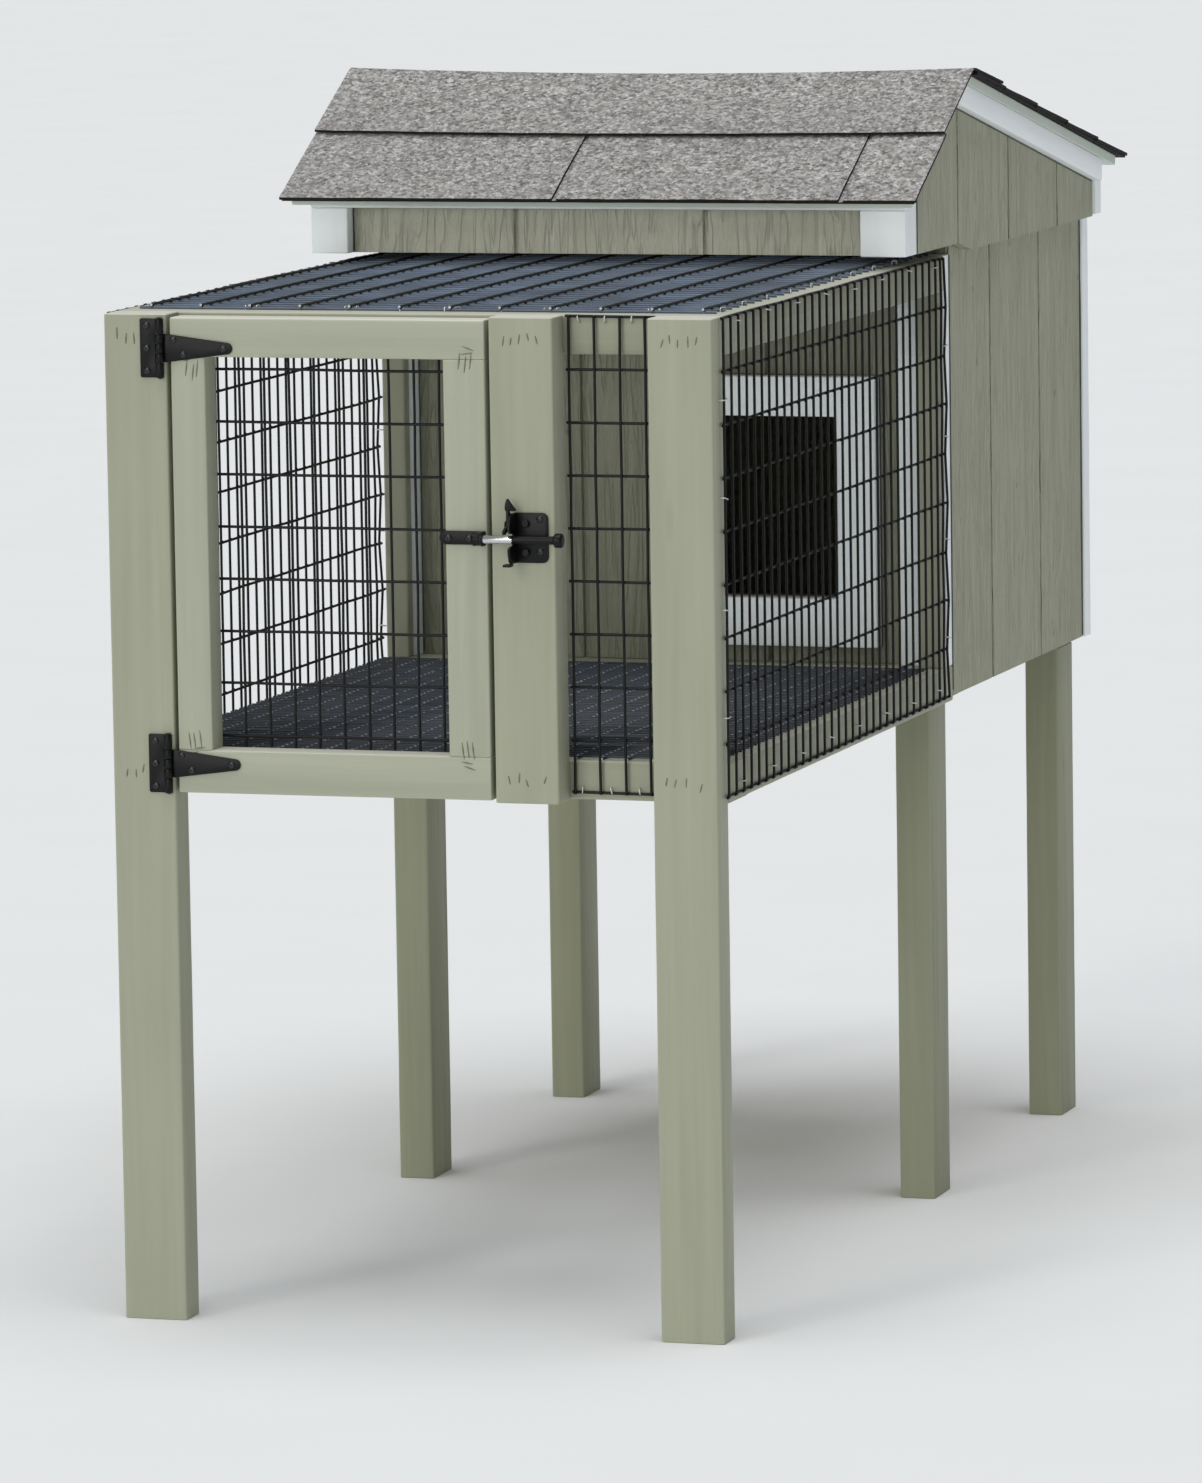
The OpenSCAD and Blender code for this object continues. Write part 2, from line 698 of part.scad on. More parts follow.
// ---- latch: a bar on the door that drops out of a notched body on the jamb ----
strike_end_gap = 1;
strike_screw_inset = 9;
strike_screw_pitch = 21;
strike_screws = [strike_x0 + strike_screw_inset, strike_x0 + strike_screw_inset + strike_screw_pitch];
strike_x1 = door_x1 - strike_end_gap;
boss_w = 8;
boss_reach = 6;
boss_wall = 2;
boss_x = strike_x1 - boss_w;
module strike_plate() {
    color("#1c1e20") difference() {
        union() {
            round_x = strike_x0 + strike_h / 2;
            block(round_x, strike_x1, -strike_t, 0, bar_z - strike_h / 2, bar_z + strike_h / 2);
            bar_back(round_x, -strike_t, 0, bar_z, strike_h);
            block(boss_x, strike_x1, bar_y - boss_reach, 0, bar_z - strike_h / 2, bar_z + strike_h / 2);
        }
        for (x = strike_screws) screw_hole(x, 0, bar_z);
        bar_x(boss_x + boss_wall, strike_x1 + over, bar_y, bar_z, bar_d);
    }
}
knob_x = 151.5;
knob_d = 14;
knob_len = 9;
module strike_bar() {
    color("#c8c8cc") bar_x(boss_x + boss_wall, knob_x, bar_y, bar_z, bar_d);
    color("#1c1e20") bar_x(knob_x, knob_x + knob_len, bar_y, bar_z, knob_d);
}
latch_screw_x = latch_x0 + 26;
latch_screw_rise = 19;
latch_screw_drop = 12;
latch_screws = [[latch_screw_x, bar_z + latch_screw_rise], [latch_screw_x, bar_z - latch_screw_drop]];
mouth_r = 6;
mouth_x1 = latch_x0 + 5;
latch_lift = 1;
toe_w = 5;
toe_len = 12;
toe_h = 2.5;
rivet_t = 2;
rivet_head_d = 2 * pivot_r + 3;
module latch_body() {
    z0 = bar_z - latch_h / 2 + latch_lift;
    z1 = bar_z + latch_h / 2 + latch_lift;
    corner_r = 6;
    rivet_x = latch_x0 - pawl_t - 2 * pawl_gap;
    color("#1c1e20") difference() {
        union() {
            block(latch_x0, latch_x0 + latch_w - corner_r, -latch_t, 0, z0, z1);
            block(latch_x0, latch_x0 + latch_w, -latch_t, 0, z0 + corner_r, z1 - corner_r);
            for (z = [z0 + corner_r, z1 - corner_r]) {
                bar_back(latch_x0 + latch_w - corner_r, -latch_t, 0, z, 2 * corner_r);
            }
            block(latch_x0, latch_x0 + latch_t, -latch_reach, 0, z0, z1);
            block(latch_x0 - toe_w, latch_x0 + latch_t, -latch_reach, -latch_reach + toe_len, z0 - toe_h, z0);
        }
        bar_x(latch_x0 - over, mouth_x1, bar_y, bar_z, 2 * mouth_r);
        block(latch_x0 - over, mouth_x1, -latch_reach - over, bar_y, bar_z - mouth_r, bar_z + mouth_r);
        for (p = latch_screws) screw_hole(p[0], 0, p[1]);
    }
    // the pawl's pivot, riveted through the flange
    color("#1c1e20") bar_x(rivet_x, latch_x0, pivot_y, pivot_z, 2 * pivot_r);
    color("#1c1e20") bar_x(rivet_x - rivet_t, rivet_x, pivot_y, pivot_z, rivet_head_d);
}
pawl_x1 = latch_x0 - pawl_gap;
pawl_x0 = pawl_x1 - pawl_t;
finger_h = 25;
finger_tip_x = -5;
finger_tip_w = 2;
pawl_hub_r = 6;
module latch_pawl() {
    color("#1c1e20") translate([pawl_x0, front_y + pivot_y, pivot_z]) rotate([90, 0, 90]) {
        linear_extrude(pawl_t) difference() {
            union() {
                circle(pawl_hub_r);
                rotate(180 + nose_angle) translate([0, -nose_w / 2]) square([nose_len - nose_w / 2, nose_w]);
                rotate(180 + nose_angle) translate([nose_len - nose_w / 2, 0]) circle(nose_w / 2);
                polygon([[-pawl_hub_r, 0], [pawl_hub_r, 0],
                    [finger_tip_x + finger_tip_w, finger_h], [finger_tip_x, finger_h]]);
            }
            circle(pivot_r + pin_gap);
        }
    }
}

// ---- lid hinges on the back of the house ----
lid_axis_z = lid_bottom;
lid_knuckles = 5;
knuckle_w = lid_hinge_w / lid_knuckles;
knuckle_side_gap = 0.3;
leaf_screw_pitch = 20;
leaf_relief = 1;
module lid_leaf(first, z0, z1) {
    for (s = [-1, 1]) difference() {
        union() {
            left = s * lid_hinge_x - lid_hinge_w / 2;
            block(left, left + lid_hinge_w, band_back, band_back + leaf_t, z0, z1);
            for (k = [first:2:lid_knuckles - 1]) {
                x0 = left + k * knuckle_w + knuckle_side_gap;
                x1 = x0 + knuckle_w - 2 * knuckle_side_gap;
                bar_x(x0, x1, lid_axis_y, lid_axis_z, 2 * lid_knuckle_r);
                block(x0, x1, band_back, band_back + leaf_t, min(z0, lid_axis_z), max(z1, lid_axis_z));
            }
        }
        bore_x = s * lid_hinge_x - lid_hinge_w;
        bar_x(bore_x, bore_x + 2 * lid_hinge_w, lid_axis_y, lid_axis_z, 2 * (pin_r + pin_gap));
        for (p = lid_leaf_screws) {
            screw_hole(s * lid_hinge_x + p * leaf_screw_pitch, band_back, (z0 + z1) / 2);
        }
    }
}
lid_leaf_screws = [-1, 0, 1];
leaf_gap = lid_knuckle_r + leaf_relief;
module lid_hinge_leaves() color("#1c1e20") lid_leaf(1, lid_axis_z + leaf_gap, lid_axis_z + lid_hinge_h);
module house_hinge_leaves() color("#1c1e20") lid_leaf(0, lid_axis_z - lid_hinge_h, lid_axis_z - leaf_gap);
module lid_hinge_pins() {
    color("#1c1e20") for (s = [-1, 1]) {
        reach = lid_hinge_w / 2 + pin_tail;
        bar_x(s * lid_hinge_x - reach, s * lid_hinge_x + reach, lid_axis_y, lid_axis_z, 2 * pin_r);
    }
}
module leaf_screws(z) {
    for (s = [-1, 1], p = lid_leaf_screws) {
        rear_screw(s * lid_hinge_x + p * leaf_screw_pitch, band_back + leaf_t, z);
    }
}
module lid_hinge_screws() color("#1c1e20") leaf_screws(lid_axis_z + (leaf_gap + lid_hinge_h) / 2);
module house_hinge_screws() color("#1c1e20") leaf_screws(lid_axis_z - (leaf_gap + lid_hinge_h) / 2);

module door_screws() {
    color("#1c1e20") for (z = door_hinge_z, p = strap_screws) screw(hinge_x + p[0], -leaf_t, z + p[1]);
    color("#1c1e20") for (x = strike_screws) screw(x, -strike_t, bar_z);
}
module frame_screws() {
    color("#1c1e20") for (z = door_hinge_z, dz = plate_screws) screw(plate_screw_x, -leaf_t, z + dz);
    color("#1c1e20") for (p = latch_screws) screw(p[0], -latch_t, p[1]);
}

// ---- every node, drawn alone or all together ----
front_left_post();
front_right_post();
door_jamb();
mid_left_leg();
mid_right_leg();
rear_left_leg();
rear_right_leg();
run_front_rails();
run_left_rails();
run_right_rails();
run_rear_rails();
run_rear_studs();
run_floor_mesh();
run_top_mesh();
run_left_mesh();
run_right_mesh();
run_front_mesh();
mesh_staples();
house_floor_frame();
house_floor();
house_front_wall();
house_rear_wall();
house_left_wall();
house_right_wall();
house_corner_studs();
house_corner_trim();
pop_hole_trim();
lid_front_skirt();
lid_rear_skirt();
lid_left_gable();
lid_right_gable();
lid_front_trim();
lid_rear_trim();
lid_fascia();
lid_rake_boards();
lid_frame();
roof_front_deck();
roof_rear_deck();
roof_front_shingles();
roof_rear_shingles();
roof_ridge_cap();
lid_hinge_leaves();
house_hinge_leaves();
lid_hinge_pins();
lid_hinge_screws();
house_hinge_screws();
door_hinge_stile();
door_latch_stile();
door_top_rail();
door_bottom_rail();
door_mesh();
door_hinge_straps();
door_hinge_plates();
door_hinge_pins();
strike_plate();
strike_bar();
latch_body();
latch_pawl();
door_screws();
frame_screws();
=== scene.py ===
import json
import math
import random

import bmesh
import bpy
from mathutils import Matrix, Vector
from mathutils import noise as mnoise


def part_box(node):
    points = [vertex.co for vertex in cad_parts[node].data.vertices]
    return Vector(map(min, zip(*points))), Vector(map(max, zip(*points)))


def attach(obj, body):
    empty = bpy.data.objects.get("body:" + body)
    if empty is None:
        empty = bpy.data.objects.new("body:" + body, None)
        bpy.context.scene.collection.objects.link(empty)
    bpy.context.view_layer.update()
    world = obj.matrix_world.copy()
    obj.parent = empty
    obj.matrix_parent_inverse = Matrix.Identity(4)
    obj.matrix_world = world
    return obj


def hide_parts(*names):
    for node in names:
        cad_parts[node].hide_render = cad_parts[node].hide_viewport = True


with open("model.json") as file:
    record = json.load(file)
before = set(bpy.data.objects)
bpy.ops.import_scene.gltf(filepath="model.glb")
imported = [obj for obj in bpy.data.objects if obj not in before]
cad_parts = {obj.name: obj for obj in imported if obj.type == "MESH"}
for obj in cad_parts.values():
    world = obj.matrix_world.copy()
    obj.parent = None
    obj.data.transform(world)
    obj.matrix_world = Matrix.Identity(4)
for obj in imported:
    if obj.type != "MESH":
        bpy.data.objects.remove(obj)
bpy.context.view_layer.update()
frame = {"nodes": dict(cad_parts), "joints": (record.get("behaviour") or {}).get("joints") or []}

MM = 0.001
SEED = 11
rng = random.Random(SEED)
mnoise.seed_set(SEED)  # until it is seeded, noise_vector follows the clock


# ---------------------------------------------------------------- frame of reference, in millimetres
def mm_box(node):
    lo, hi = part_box(node)
    return [c / MM for c in lo], [c / MM for c in hi]


FY = mm_box("front_left_post")[0][1]  # depth 0: the front faces of the posts
RUN_LO, RUN_HI = mm_box("run_front_rails")
HALF = RUN_HI[0]
RUN_Z0, RUN_Z1 = RUN_LO[2], RUN_HI[2]
LUM = mm_box("front_left_post")[1][1] - FY
LUM_W = RUN_HI[1] - RUN_LO[1]
FLOOR_Z = RUN_Z0 + LUM
TRIM_LO, TRIM_HI = mm_box("house_corner_trim")
TRIM_Y = TRIM_LO[1]
WALL_LO, WALL_HI = mm_box("house_right_wall")
HOUSE_Y0, HOUSE_Y1 = WALL_LO[1], WALL_HI[1]
SID = WALL_HI[0] - WALL_LO[0]
LIDR_LO, LIDR_HI = mm_box("lid_rear_trim")
SKIRT_LO = mm_box("lid_front_skirt")[0]
GAB_LO, GAB_HI = mm_box("lid_right_gable")
LID_X, LID_IN = GAB_HI[0], GAB_LO[0]
FTRIM_LO, FTRIM_HI = mm_box("lid_front_trim")
LID_FRONT = FTRIM_LO[1]

# The roof's two slopes, as part.scad has them: s runs down from the ridge, t is the height off the deck.
RIDGE_D, RIDGE_Z = 840.0, 1172.0
EAVE_F, EAVE_FZ = 607.0, 1051.0
EAVE_R, EAVE_RZ = 1483.0, 1045.0
DECK_T = 11.0
PITCH_F = math.atan2(RIDGE_Z - EAVE_FZ, RIDGE_D - EAVE_F)
PITCH_R = math.atan2(RIDGE_Z - EAVE_RZ, EAVE_R - RIDGE_D)
RUN_F = (RIDGE_D - EAVE_F) / math.cos(PITCH_F)
RUN_R = (EAVE_R - RIDGE_D) / math.cos(PITCH_R)
TAN_SUM = math.tan(PITCH_F) + math.tan(PITCH_R)
# where the undersides of the two slopes meet
UNDER_Y = FY + RIDGE_D + DECK_T * (1 / math.cos(PITCH_F) - 1 / math.cos(PITCH_R)) / TAN_SUM


def front_pt(s, t):
    return (FY + RIDGE_D - s * math.cos(PITCH_F) - t * math.sin(PITCH_F),
            RIDGE_Z - s * math.sin(PITCH_F) + t * math.cos(PITCH_F))


def rear_pt(s, t):
    return (FY + RIDGE_D + s * math.cos(PITCH_R) + t * math.sin(PITCH_R),
            RIDGE_Z - s * math.sin(PITCH_R) + t * math.cos(PITCH_R))


def under_deck(y):
    d = y - FY
    if y < UNDER_Y:
        return RIDGE_Z - (RIDGE_D - d) * math.tan(PITCH_F) - DECK_T / math.cos(PITCH_F)
    return RIDGE_Z - (d - RIDGE_D) * math.tan(PITCH_R) - DECK_T / math.cos(PITCH_R)


# ---------------------------------------------------------------- materials
def lin(*c):
    out = []
    for v in c:
        v /= 255.0
        out.append(v / 12.92 if v <= 0.04045 else ((v + 0.055) / 1.055) ** 2.4)
    return (*out, 1.0)


def scaled(c, k):
    return (min(c[0] * k, 1), min(c[1] * k, 1), min(c[2] * k, 1), 1)


class Mat:
    def __init__(self, name):
        self.mat = bpy.data.materials.new(name)
        self.mat.use_nodes = True
        self.nt = self.mat.node_tree
        self.bsdf = next(n for n in self.nt.nodes if n.type == "BSDF_PRINCIPLED")

    def n(self, kind, out=0, props=None, **ins):
        node = self.nt.nodes.new("ShaderNode" + kind)
        for k, v in (props or {}).items():
            setattr(node, k, v)
        for k, v in ins.items():
            k = k.replace("_", " ")
            sock = node.inputs[int(k[1:])] if k[0] == "i" and k[1:].isdigit() else node.inputs[k]
            if isinstance(v, bpy.types.NodeSocket):
                self.nt.links.new(v, sock)
            else:
                sock.default_value = v
        return node.outputs[out]

    def set(self, **ins):
        for k, v in ins.items():
            sock = self.bsdf.inputs[k.replace("_", " ")]
            if isinstance(v, bpy.types.NodeSocket):
                self.nt.links.new(v, sock)
            else:
                sock.default_value = v

    def coords(self, attr=None):
        if attr:
            return self.n("Attribute", out=1, props={"attribute_name": attr})
        return self.n("TexCoord", out=3)

    def fac(self, attr):
        return self.n("Attribute", out=2, props={"attribute_name": attr})

    def mapped(self, vec, scale):
        return self.n("Mapping", Vector=vec, Scale=scale)

    def noise(self, vec, scale, detail=3.0, rough=0.55, distort=0.0):
        return self.n("TexNoise", Vector=vec, Scale=scale, Detail=detail, Roughness=rough, Distortion=distort)

    def ramp(self, fac, stops):
        node = self.nt.nodes.new("ShaderNodeValToRGB")
        els = node.color_ramp.elements
        while len(els) < len(stops):
            els.new(0.5)
        for e, (p, c) in zip(els, stops):
            e.position = p
            e.color = c if len(c) == 4 else (*c, 1)
        self.nt.links.new(fac, node.inputs[0])
        return node.outputs[0]

    def mix(self, fac, a, b, mode="MIX"):
        return self.n("MixRGB", props={"blend_type": mode}, Fac=fac, Color1=a, Color2=b)

    def rng(self, v, a, b, c, d):
        return self.n("MapRange", Value=v, From_Min=a, From_Max=b, To_Min=c, To_Max=d)

    def math(self, op, a, b=0.0):
        return self.n("Math", props={"operation": op}, i0=a, i1=b)

    def bump(self, height, strength, distance):
        self.set(Normal=self.n("Bump", Strength=strength, Distance=distance, Height=height))


def paint(name, rgb, emboss=0.0, rough=0.5, edge=1.14, contrast=1.0, knots=1.0, top_highlight=0.0):
    """Brushed paint over wood: fibres along the board, grain and knots; painted highlights on the rounded
    edges and on up-facing faces, and painted shade in the hollows of the embossing.
    """
    m = Mat(name)
    co = m.coords("wood")
    fib = m.noise(m.mapped(co, (5, 170, 170)), 1.0, 4.0, 0.6)
    grain = m.noise(m.mapped(co, (1.6, 30, 30)), 1.0, 3.0, 0.5, 0.9)
    blot = m.noise(co, 6.0, 3.0, 0.5)
    stip = m.noise(co, 520.0, 1.0, 0.5)
    base = lin(*rgb)
    c = m.ramp(grain, [(0.3, scaled(base, 1 - 0.09 * contrast)), (0.5, base),
                       (0.72, scaled(base, 1 + 0.07 * contrast))])
    c = m.mix(m.rng(fib, 0.35, 0.7, 0.0, 0.35), c, scaled(base, 1 - 0.16 * contrast))
    c = m.mix(m.rng(blot, 0.35, 0.7, 0.0, 0.30), c, scaled(base, 1 + 0.08 * contrast))
    height = m.math("ADD", m.math("MULTIPLY", fib, 0.5), m.math("MULTIPLY", grain, 0.5))
    if knots:
        cell = m.n("TexVoronoi", Vector=m.mapped(co, (2.4, 13, 13)), Scale=1.0)
        knot = m.rng(cell, 0.03, 0.085, 0.6 * knots, 0.0)
        c = m.mix(knot, c, scaled(base, 0.74))
        height = m.math("SUBTRACT", height, m.math("MULTIPLY", knot, 0.8))
    if emboss:
        e1 = m.noise(m.mapped(co, (24, 78, 78)), 1.0, 3.0, 0.6, 2.4)
        e2 = m.noise(m.mapped(co, (3.2, 42, 42)), 1.0, 2.0, 0.5, 2.2)
        ridge = m.math("ABSOLUTE", m.math("SUBTRACT", e2, 0.5))
        valley = m.rng(ridge, 0.0, 0.035, 1.0, 0.0)
        # the grooves are coloured darker: painted shade in the hollows
        c = m.mix(m.math("MULTIPLY", valley, 0.09 * emboss), c, scaled(base, 0.6))
        flake = m.noise(m.mapped(co, (26, 120, 120)), 1.0, 2.0, 0.6, 0.8)
        c = m.mix(m.rng(flake, 0.55, 0.72, 0.0, 0.36 * emboss), c, scaled(base, 1.22))
        # the low parts of the embossing are coloured darker: painted shade
        c = m.mix(m.rng(e1, 0.3, 0.45, 0.12 * emboss, 0.0), c, scaled(base, 0.72))
        height = m.math("ADD", m.math("MULTIPLY", height, 0.5), m.math("MULTIPLY", e1, 1.3 * emboss))
        height = m.math("ADD", height, m.math("MULTIPLY", flake, 0.8 * emboss))
        height = m.math("SUBTRACT", height, m.math("MULTIPLY", valley, 0.9 * emboss))
        pit = m.n("TexVoronoi", Vector=co, Scale=15.0)
        c = m.mix(m.rng(pit, 0.04, 0.075, 0.55, 0.0), c, scaled(base, 0.5))
    # paler along the rounded edges: a painted highlight
    c = m.mix(m.math("MULTIPLY", m.fac("edge"), 0.5), c, scaled(base, edge * 1.1))
    # up-facing faces turn pale cream: a painted highlight of the light from above
    if top_highlight:
        up = m.n("SeparateXYZ", out=2, Vector=m.n("NewGeometry", out=1))
        c = m.mix(m.rng(up, 0.55, 0.9, 0.0, top_highlight), c, lin(226, 224, 210))
    height = m.math("ADD", height, m.math("MULTIPLY", stip, 0.12))
    m.set(Base_Color=c, Roughness=m.rng(fib, 0.3, 0.75, rough - 0.06, rough + 0.12), Specular_IOR_Level=0.4)
    m.bump(height, 0.6, 0.0009 + 0.0030 * emboss)
    return m.mat


def bare_wood(name, rgb, ply=False):
    """Unpainted wood. Plywood lies on a CAD solid, which has no wood coordinates of its own."""
    m = Mat(name)
    co = m.coords(None if ply else "wood")
    rings = m.noise(m.mapped(co, (1.2, 34, 34) if not ply else (3, 26, 26)), 1.0, 4.0, 0.55, 1.4)
    fib = m.noise(m.mapped(co, (7, 260, 260)), 1.0, 3.0, 0.6)
    base = lin(*rgb)
    c = m.ramp(rings, [(0.28, scaled(base, 0.66)), (0.45, scaled(base, 0.92)), (0.58, base),
                       (0.75, scaled(base, 1.14))])
    c = m.mix(m.rng(fib, 0.4, 0.7, 0.0, 0.4), c, scaled(base, 0.7))
    cell = m.n("TexVoronoi", Vector=m.mapped(co, (2.0, 11, 11)), Scale=1.0)
    c = m.mix(m.rng(cell, 0.04, 0.1, 0.8, 0.0), c, lin(112, 74, 44))
    m.set(Base_Color=c, Roughness=m.rng(fib, 0.3, 0.7, 0.62, 0.82), Specular_IOR_Level=0.25)
    m.bump(m.math("ADD", fib, rings), 0.5, 0.0006)
    return m.mat


def shingle(name, tint=1.0):
    """Mineral granules a millimetre and a half across, in clumps, over black asphalt."""
    m = Mat(name)
    co = m.coords()
    g1 = m.n("TexVoronoi", out=1, Vector=co, Scale=430.0)
    g1v = m.n("SeparateColor", i0=g1)
    g2 = m.n("TexVoronoi", out=1, Vector=co, Scale=270.0)
    g2v = m.n("SeparateColor", i0=g2)
    clump = m.noise(co, 170.0, 2.0, 0.6)
    fleck = m.math("ADD", m.math("MULTIPLY", g1v, 0.36), m.math("MULTIPLY", g2v, 0.44))
    fleck = m.math("ADD", fleck, m.math("MULTIPLY", clump, 0.20))
    c = m.ramp(fleck, [(0.14, scaled(lin(82, 79, 77), tint)), (0.34, scaled(lin(124, 121, 118), tint)),
                       (0.52, scaled(lin(150, 148, 146), tint)), (0.70, scaled(lin(176, 175, 172), tint)),
                       (0.88, scaled(lin(204, 204, 202), tint))])
    warm = m.noise(co, 60.0, 3.0, 0.6)
    c = m.mix(m.rng(warm, 0.5, 0.75, 0.0, 0.3), c, scaled(lin(150, 138, 126), tint))
    band = m.noise(m.mapped(co, (2.2, 9, 9)), 1.0, 2.0, 0.5)
    c = m.mix(m.rng(band, 0.35, 0.7, 0.0, 0.28), c, scaled(lin(126, 125, 127), tint))
    rgh = m.rng(g1v, 0.0, 1.0, 0.78, 0.95)
    m.set(Base_Color=c, Roughness=rgh, Specular_IOR_Level=0.3)
    cell = m.n("TexVoronoi", Vector=co, Scale=620.0)
    m.bump(m.math("SUBTRACT", m.math("MULTIPLY", clump, 0.6), cell), 0.8, 0.0011)
    return m.mat


def plain_rich(name, rgb, rough, metallic=0.0, var=0.12, scale=40.0, bump=0.0003, fine=700.0,
               coat=0.0, spec=0.5, stretch=None):
    """A mottled base with fine texture and varied roughness, for metal, vinyl, caulk and asphalt."""
    m = Mat(name)
    co = m.coords()
    if stretch:
        co = m.mapped(co, stretch)
    big = m.noise(co, scale, 3.0, 0.6)
    small = m.noise(co, fine, 2.0, 0.6)
    base = lin(*rgb)
    c = m.ramp(big, [(0.3, scaled(base, 1 - var)), (0.55, base), (0.75, scaled(base, 1 + var * 1.4))])
    m.set(Base_Color=c, Roughness=m.rng(small, 0.3, 0.7, rough * 0.82, min(rough * 1.2, 1)),
          Metallic=metallic, Specular_IOR_Level=spec)
    if coat:
        m.set(Coat_Weight=coat, Coat_Roughness=0.12)
    m.bump(m.math("ADD", m.math("MULTIPLY", big, 0.6), m.math("MULTIPLY", small, 0.4)), 0.6, bump)
    return m.mat


KHAKI = paint("khaki_post", (161, 164, 142), top_highlight=0.85)
KHAKI_DOOR = paint("khaki_door", (168, 171, 151), contrast=1.1, top_highlight=0.85)
KHAKI_RAIL = paint("khaki_rail", (153, 155, 134), contrast=1.1, top_highlight=0.45)
# the legs and the floor frame take a darker copy of the paint: painted shade under the house
KHAKI_LEG_SHADED = paint("khaki_leg_painted_shade", (144, 147, 122), contrast=1.1)
SIDING = paint("khaki_siding", (161, 163, 140), emboss=1.0, rough=0.55, edge=1.05, contrast=0.5)
# a paler copy of the siding paint for the lid's front skirt, as painted light against the shade under the
# eave, and a darker copy for the front wall inside the run, as painted shade under the lid and the top wire
SIDING_PAINTED_LIGHT = paint("khaki_skirt_painted_light", (184, 184, 166), emboss=1.0, rough=0.55, edge=1.05, contrast=0.6)
SIDING_PAINTED_SHADE = paint("khaki_inner_wall_painted_shade", (142, 143, 124), emboss=1.0, rough=0.6, edge=1.05, contrast=0.6)
WHITE = paint("white_trim", (243, 249, 251), rough=0.42, edge=1.03, contrast=0.35, knots=0.0)
# pale deck paint with a faint green cast: painted light bounced off grass
DECK_PAINT_GREEN_BOUNCE = paint("deck_paint_green_bounce", (200, 209, 199), rough=0.6, edge=1.0, contrast=0.9, knots=0.4)
PINE = bare_wood("pine", (206, 176, 128))
PLY = bare_wood("plywood", (198, 166, 116), ply=True)
SHINGLE = shingle("shingle_granules", 1.16)
ASPHALT = plain_rich("shingle_edge", (34, 32, 31), 0.9, var=0.3, scale=90.0, bump=0.0008,
                     fine=500.0, spec=0.25)
VINYL = plain_rich("black_vinyl", (4, 5, 7), 0.45, var=0.2, scale=60.0, bump=0.00012, spec=0.3)
# lighter bluish copies of the black vinyl for the top and floor wire: painted reflection of the sky on the
# coating
VINYL_TOP_SKY_REFLECTION = plain_rich("top_vinyl_painted_sky_reflection", (84, 99, 118), 0.4, var=0.4, scale=9.0, bump=0.00012, coat=0.15)
VINYL_FLOOR_SKY_REFLECTION = plain_rich("floor_vinyl_painted_sky_reflection", (34, 43, 55), 0.4, var=0.35, scale=9.0, bump=0.00012, coat=0.15)
# a pale colour for the floor's weld beads: painted glints on the black wire
WELD_GLINT = plain_rich("weld_bead_painted_glint", (118, 132, 145), 0.3, var=0.2, scale=120.0, bump=0.00012, coat=0.4)
WIRE_END = plain_rich("wire_core", (168, 168, 166), 0.35, metallic=0.9, var=0.15, scale=300.0)
STAPLE = plain_rich("staple_steel", (206, 206, 206), 0.38, metallic=0.85, var=0.12, scale=200.0)
BLACK = plain_rich("black_hardware", (5, 6, 8), 0.4, var=0.3, scale=80.0, bump=0.00025, fine=900.0, spec=0.25)
SCREW = plain_rich("black_screw", (13, 14, 16), 0.28, var=0.3, scale=400.0, bump=0.0002, coat=0.2)
STEEL = plain_rich("bar_steel", (205, 206, 208), 0.2, metallic=1.0, var=0.08, scale=60.0, stretch=(0.2, 1, 1))
# caulk coloured dark grey: partly the caulk, partly painted shade in the seam
CAULK_SHADED = plain_rich("caulk", (84, 88, 84), 0.7, var=0.2, scale=60.0, spec=0.3)
# darker than the paint it lies under: painted shade of the grooves at the fastener marks
MARK_SHADE = plain_rich("fastener_mark_painted_shade", (120, 122, 104), 0.6, var=0.3, scale=300.0)


# ---------------------------------------------------------------- mesh building, in millimetres
SIDING_ANGLE, ROUND_ANGLE = 25, 60  # edges sharper than this stay crisp, on siding and on round things


def outwards(me):
    """Turns every face of a closed mesh outwards."""
    bm = bmesh.new()
    bm.from_mesh(me)
    bmesh.ops.recalc_face_normals(bm, faces=bm.faces)
    bm.to_mesh(me)
    bm.free()


def add_object(name, data):
    ob = bpy.data.objects.new(name, data)
    bpy.context.scene.collection.objects.link(ob)
    return ob


def grain_offset():
    """Where a board's grain starts, so that no two boards look alike."""
    return tuple(rng.uniform(0, 30) for _ in range(3))


class Shell:
    """Points and faces gathered for one mesh, each point with its place in the wood and its share of the
    painted edge highlight.
    """
    def __init__(self):
        self.v, self.f, self.w, self.e, self.m = [], [], [], [], []

    def put(self, verts, faces, wood=None, edge=None, mat=0, mats=None):
        n = len(self.v)
        self.v += [tuple(p) for p in verts]
        self.w += wood or [tuple(c * MM for c in p) for p in verts]
        self.e += edge or [0.0] * len(verts)
        self.f += [[i + n for i in f] for f in faces]
        self.m += mats or [mat] * len(faces)

    def make(self, name, body, mats, nodes=(), slot=None, smooth=35):
        me = bpy.data.meshes.new(name)
        me.from_pydata([(x * MM, y * MM, z * MM) for x, y, z in self.v], [], self.f)
        for m in (mats if isinstance(mats, (list, tuple)) else [mats]):
            me.materials.append(m)
        me.polygons.foreach_set("material_index", self.m)
        a = me.attributes.new("wood", "FLOAT_VECTOR", "POINT")
        a.data.foreach_set("vector", [c for p in self.w for c in p])
        a = me.attributes.new("edge", "FLOAT", "POINT")
        a.data.foreach_set("value", self.e)
        outwards(me)
        me.shade_smooth()
        me.set_sharp_from_angle(angle=math.radians(smooth))
        ob = add_object(name, me)
        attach(ob, body)
        if nodes:
            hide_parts(*([nodes] if isinstance(nodes, str) else nodes))
        return ob


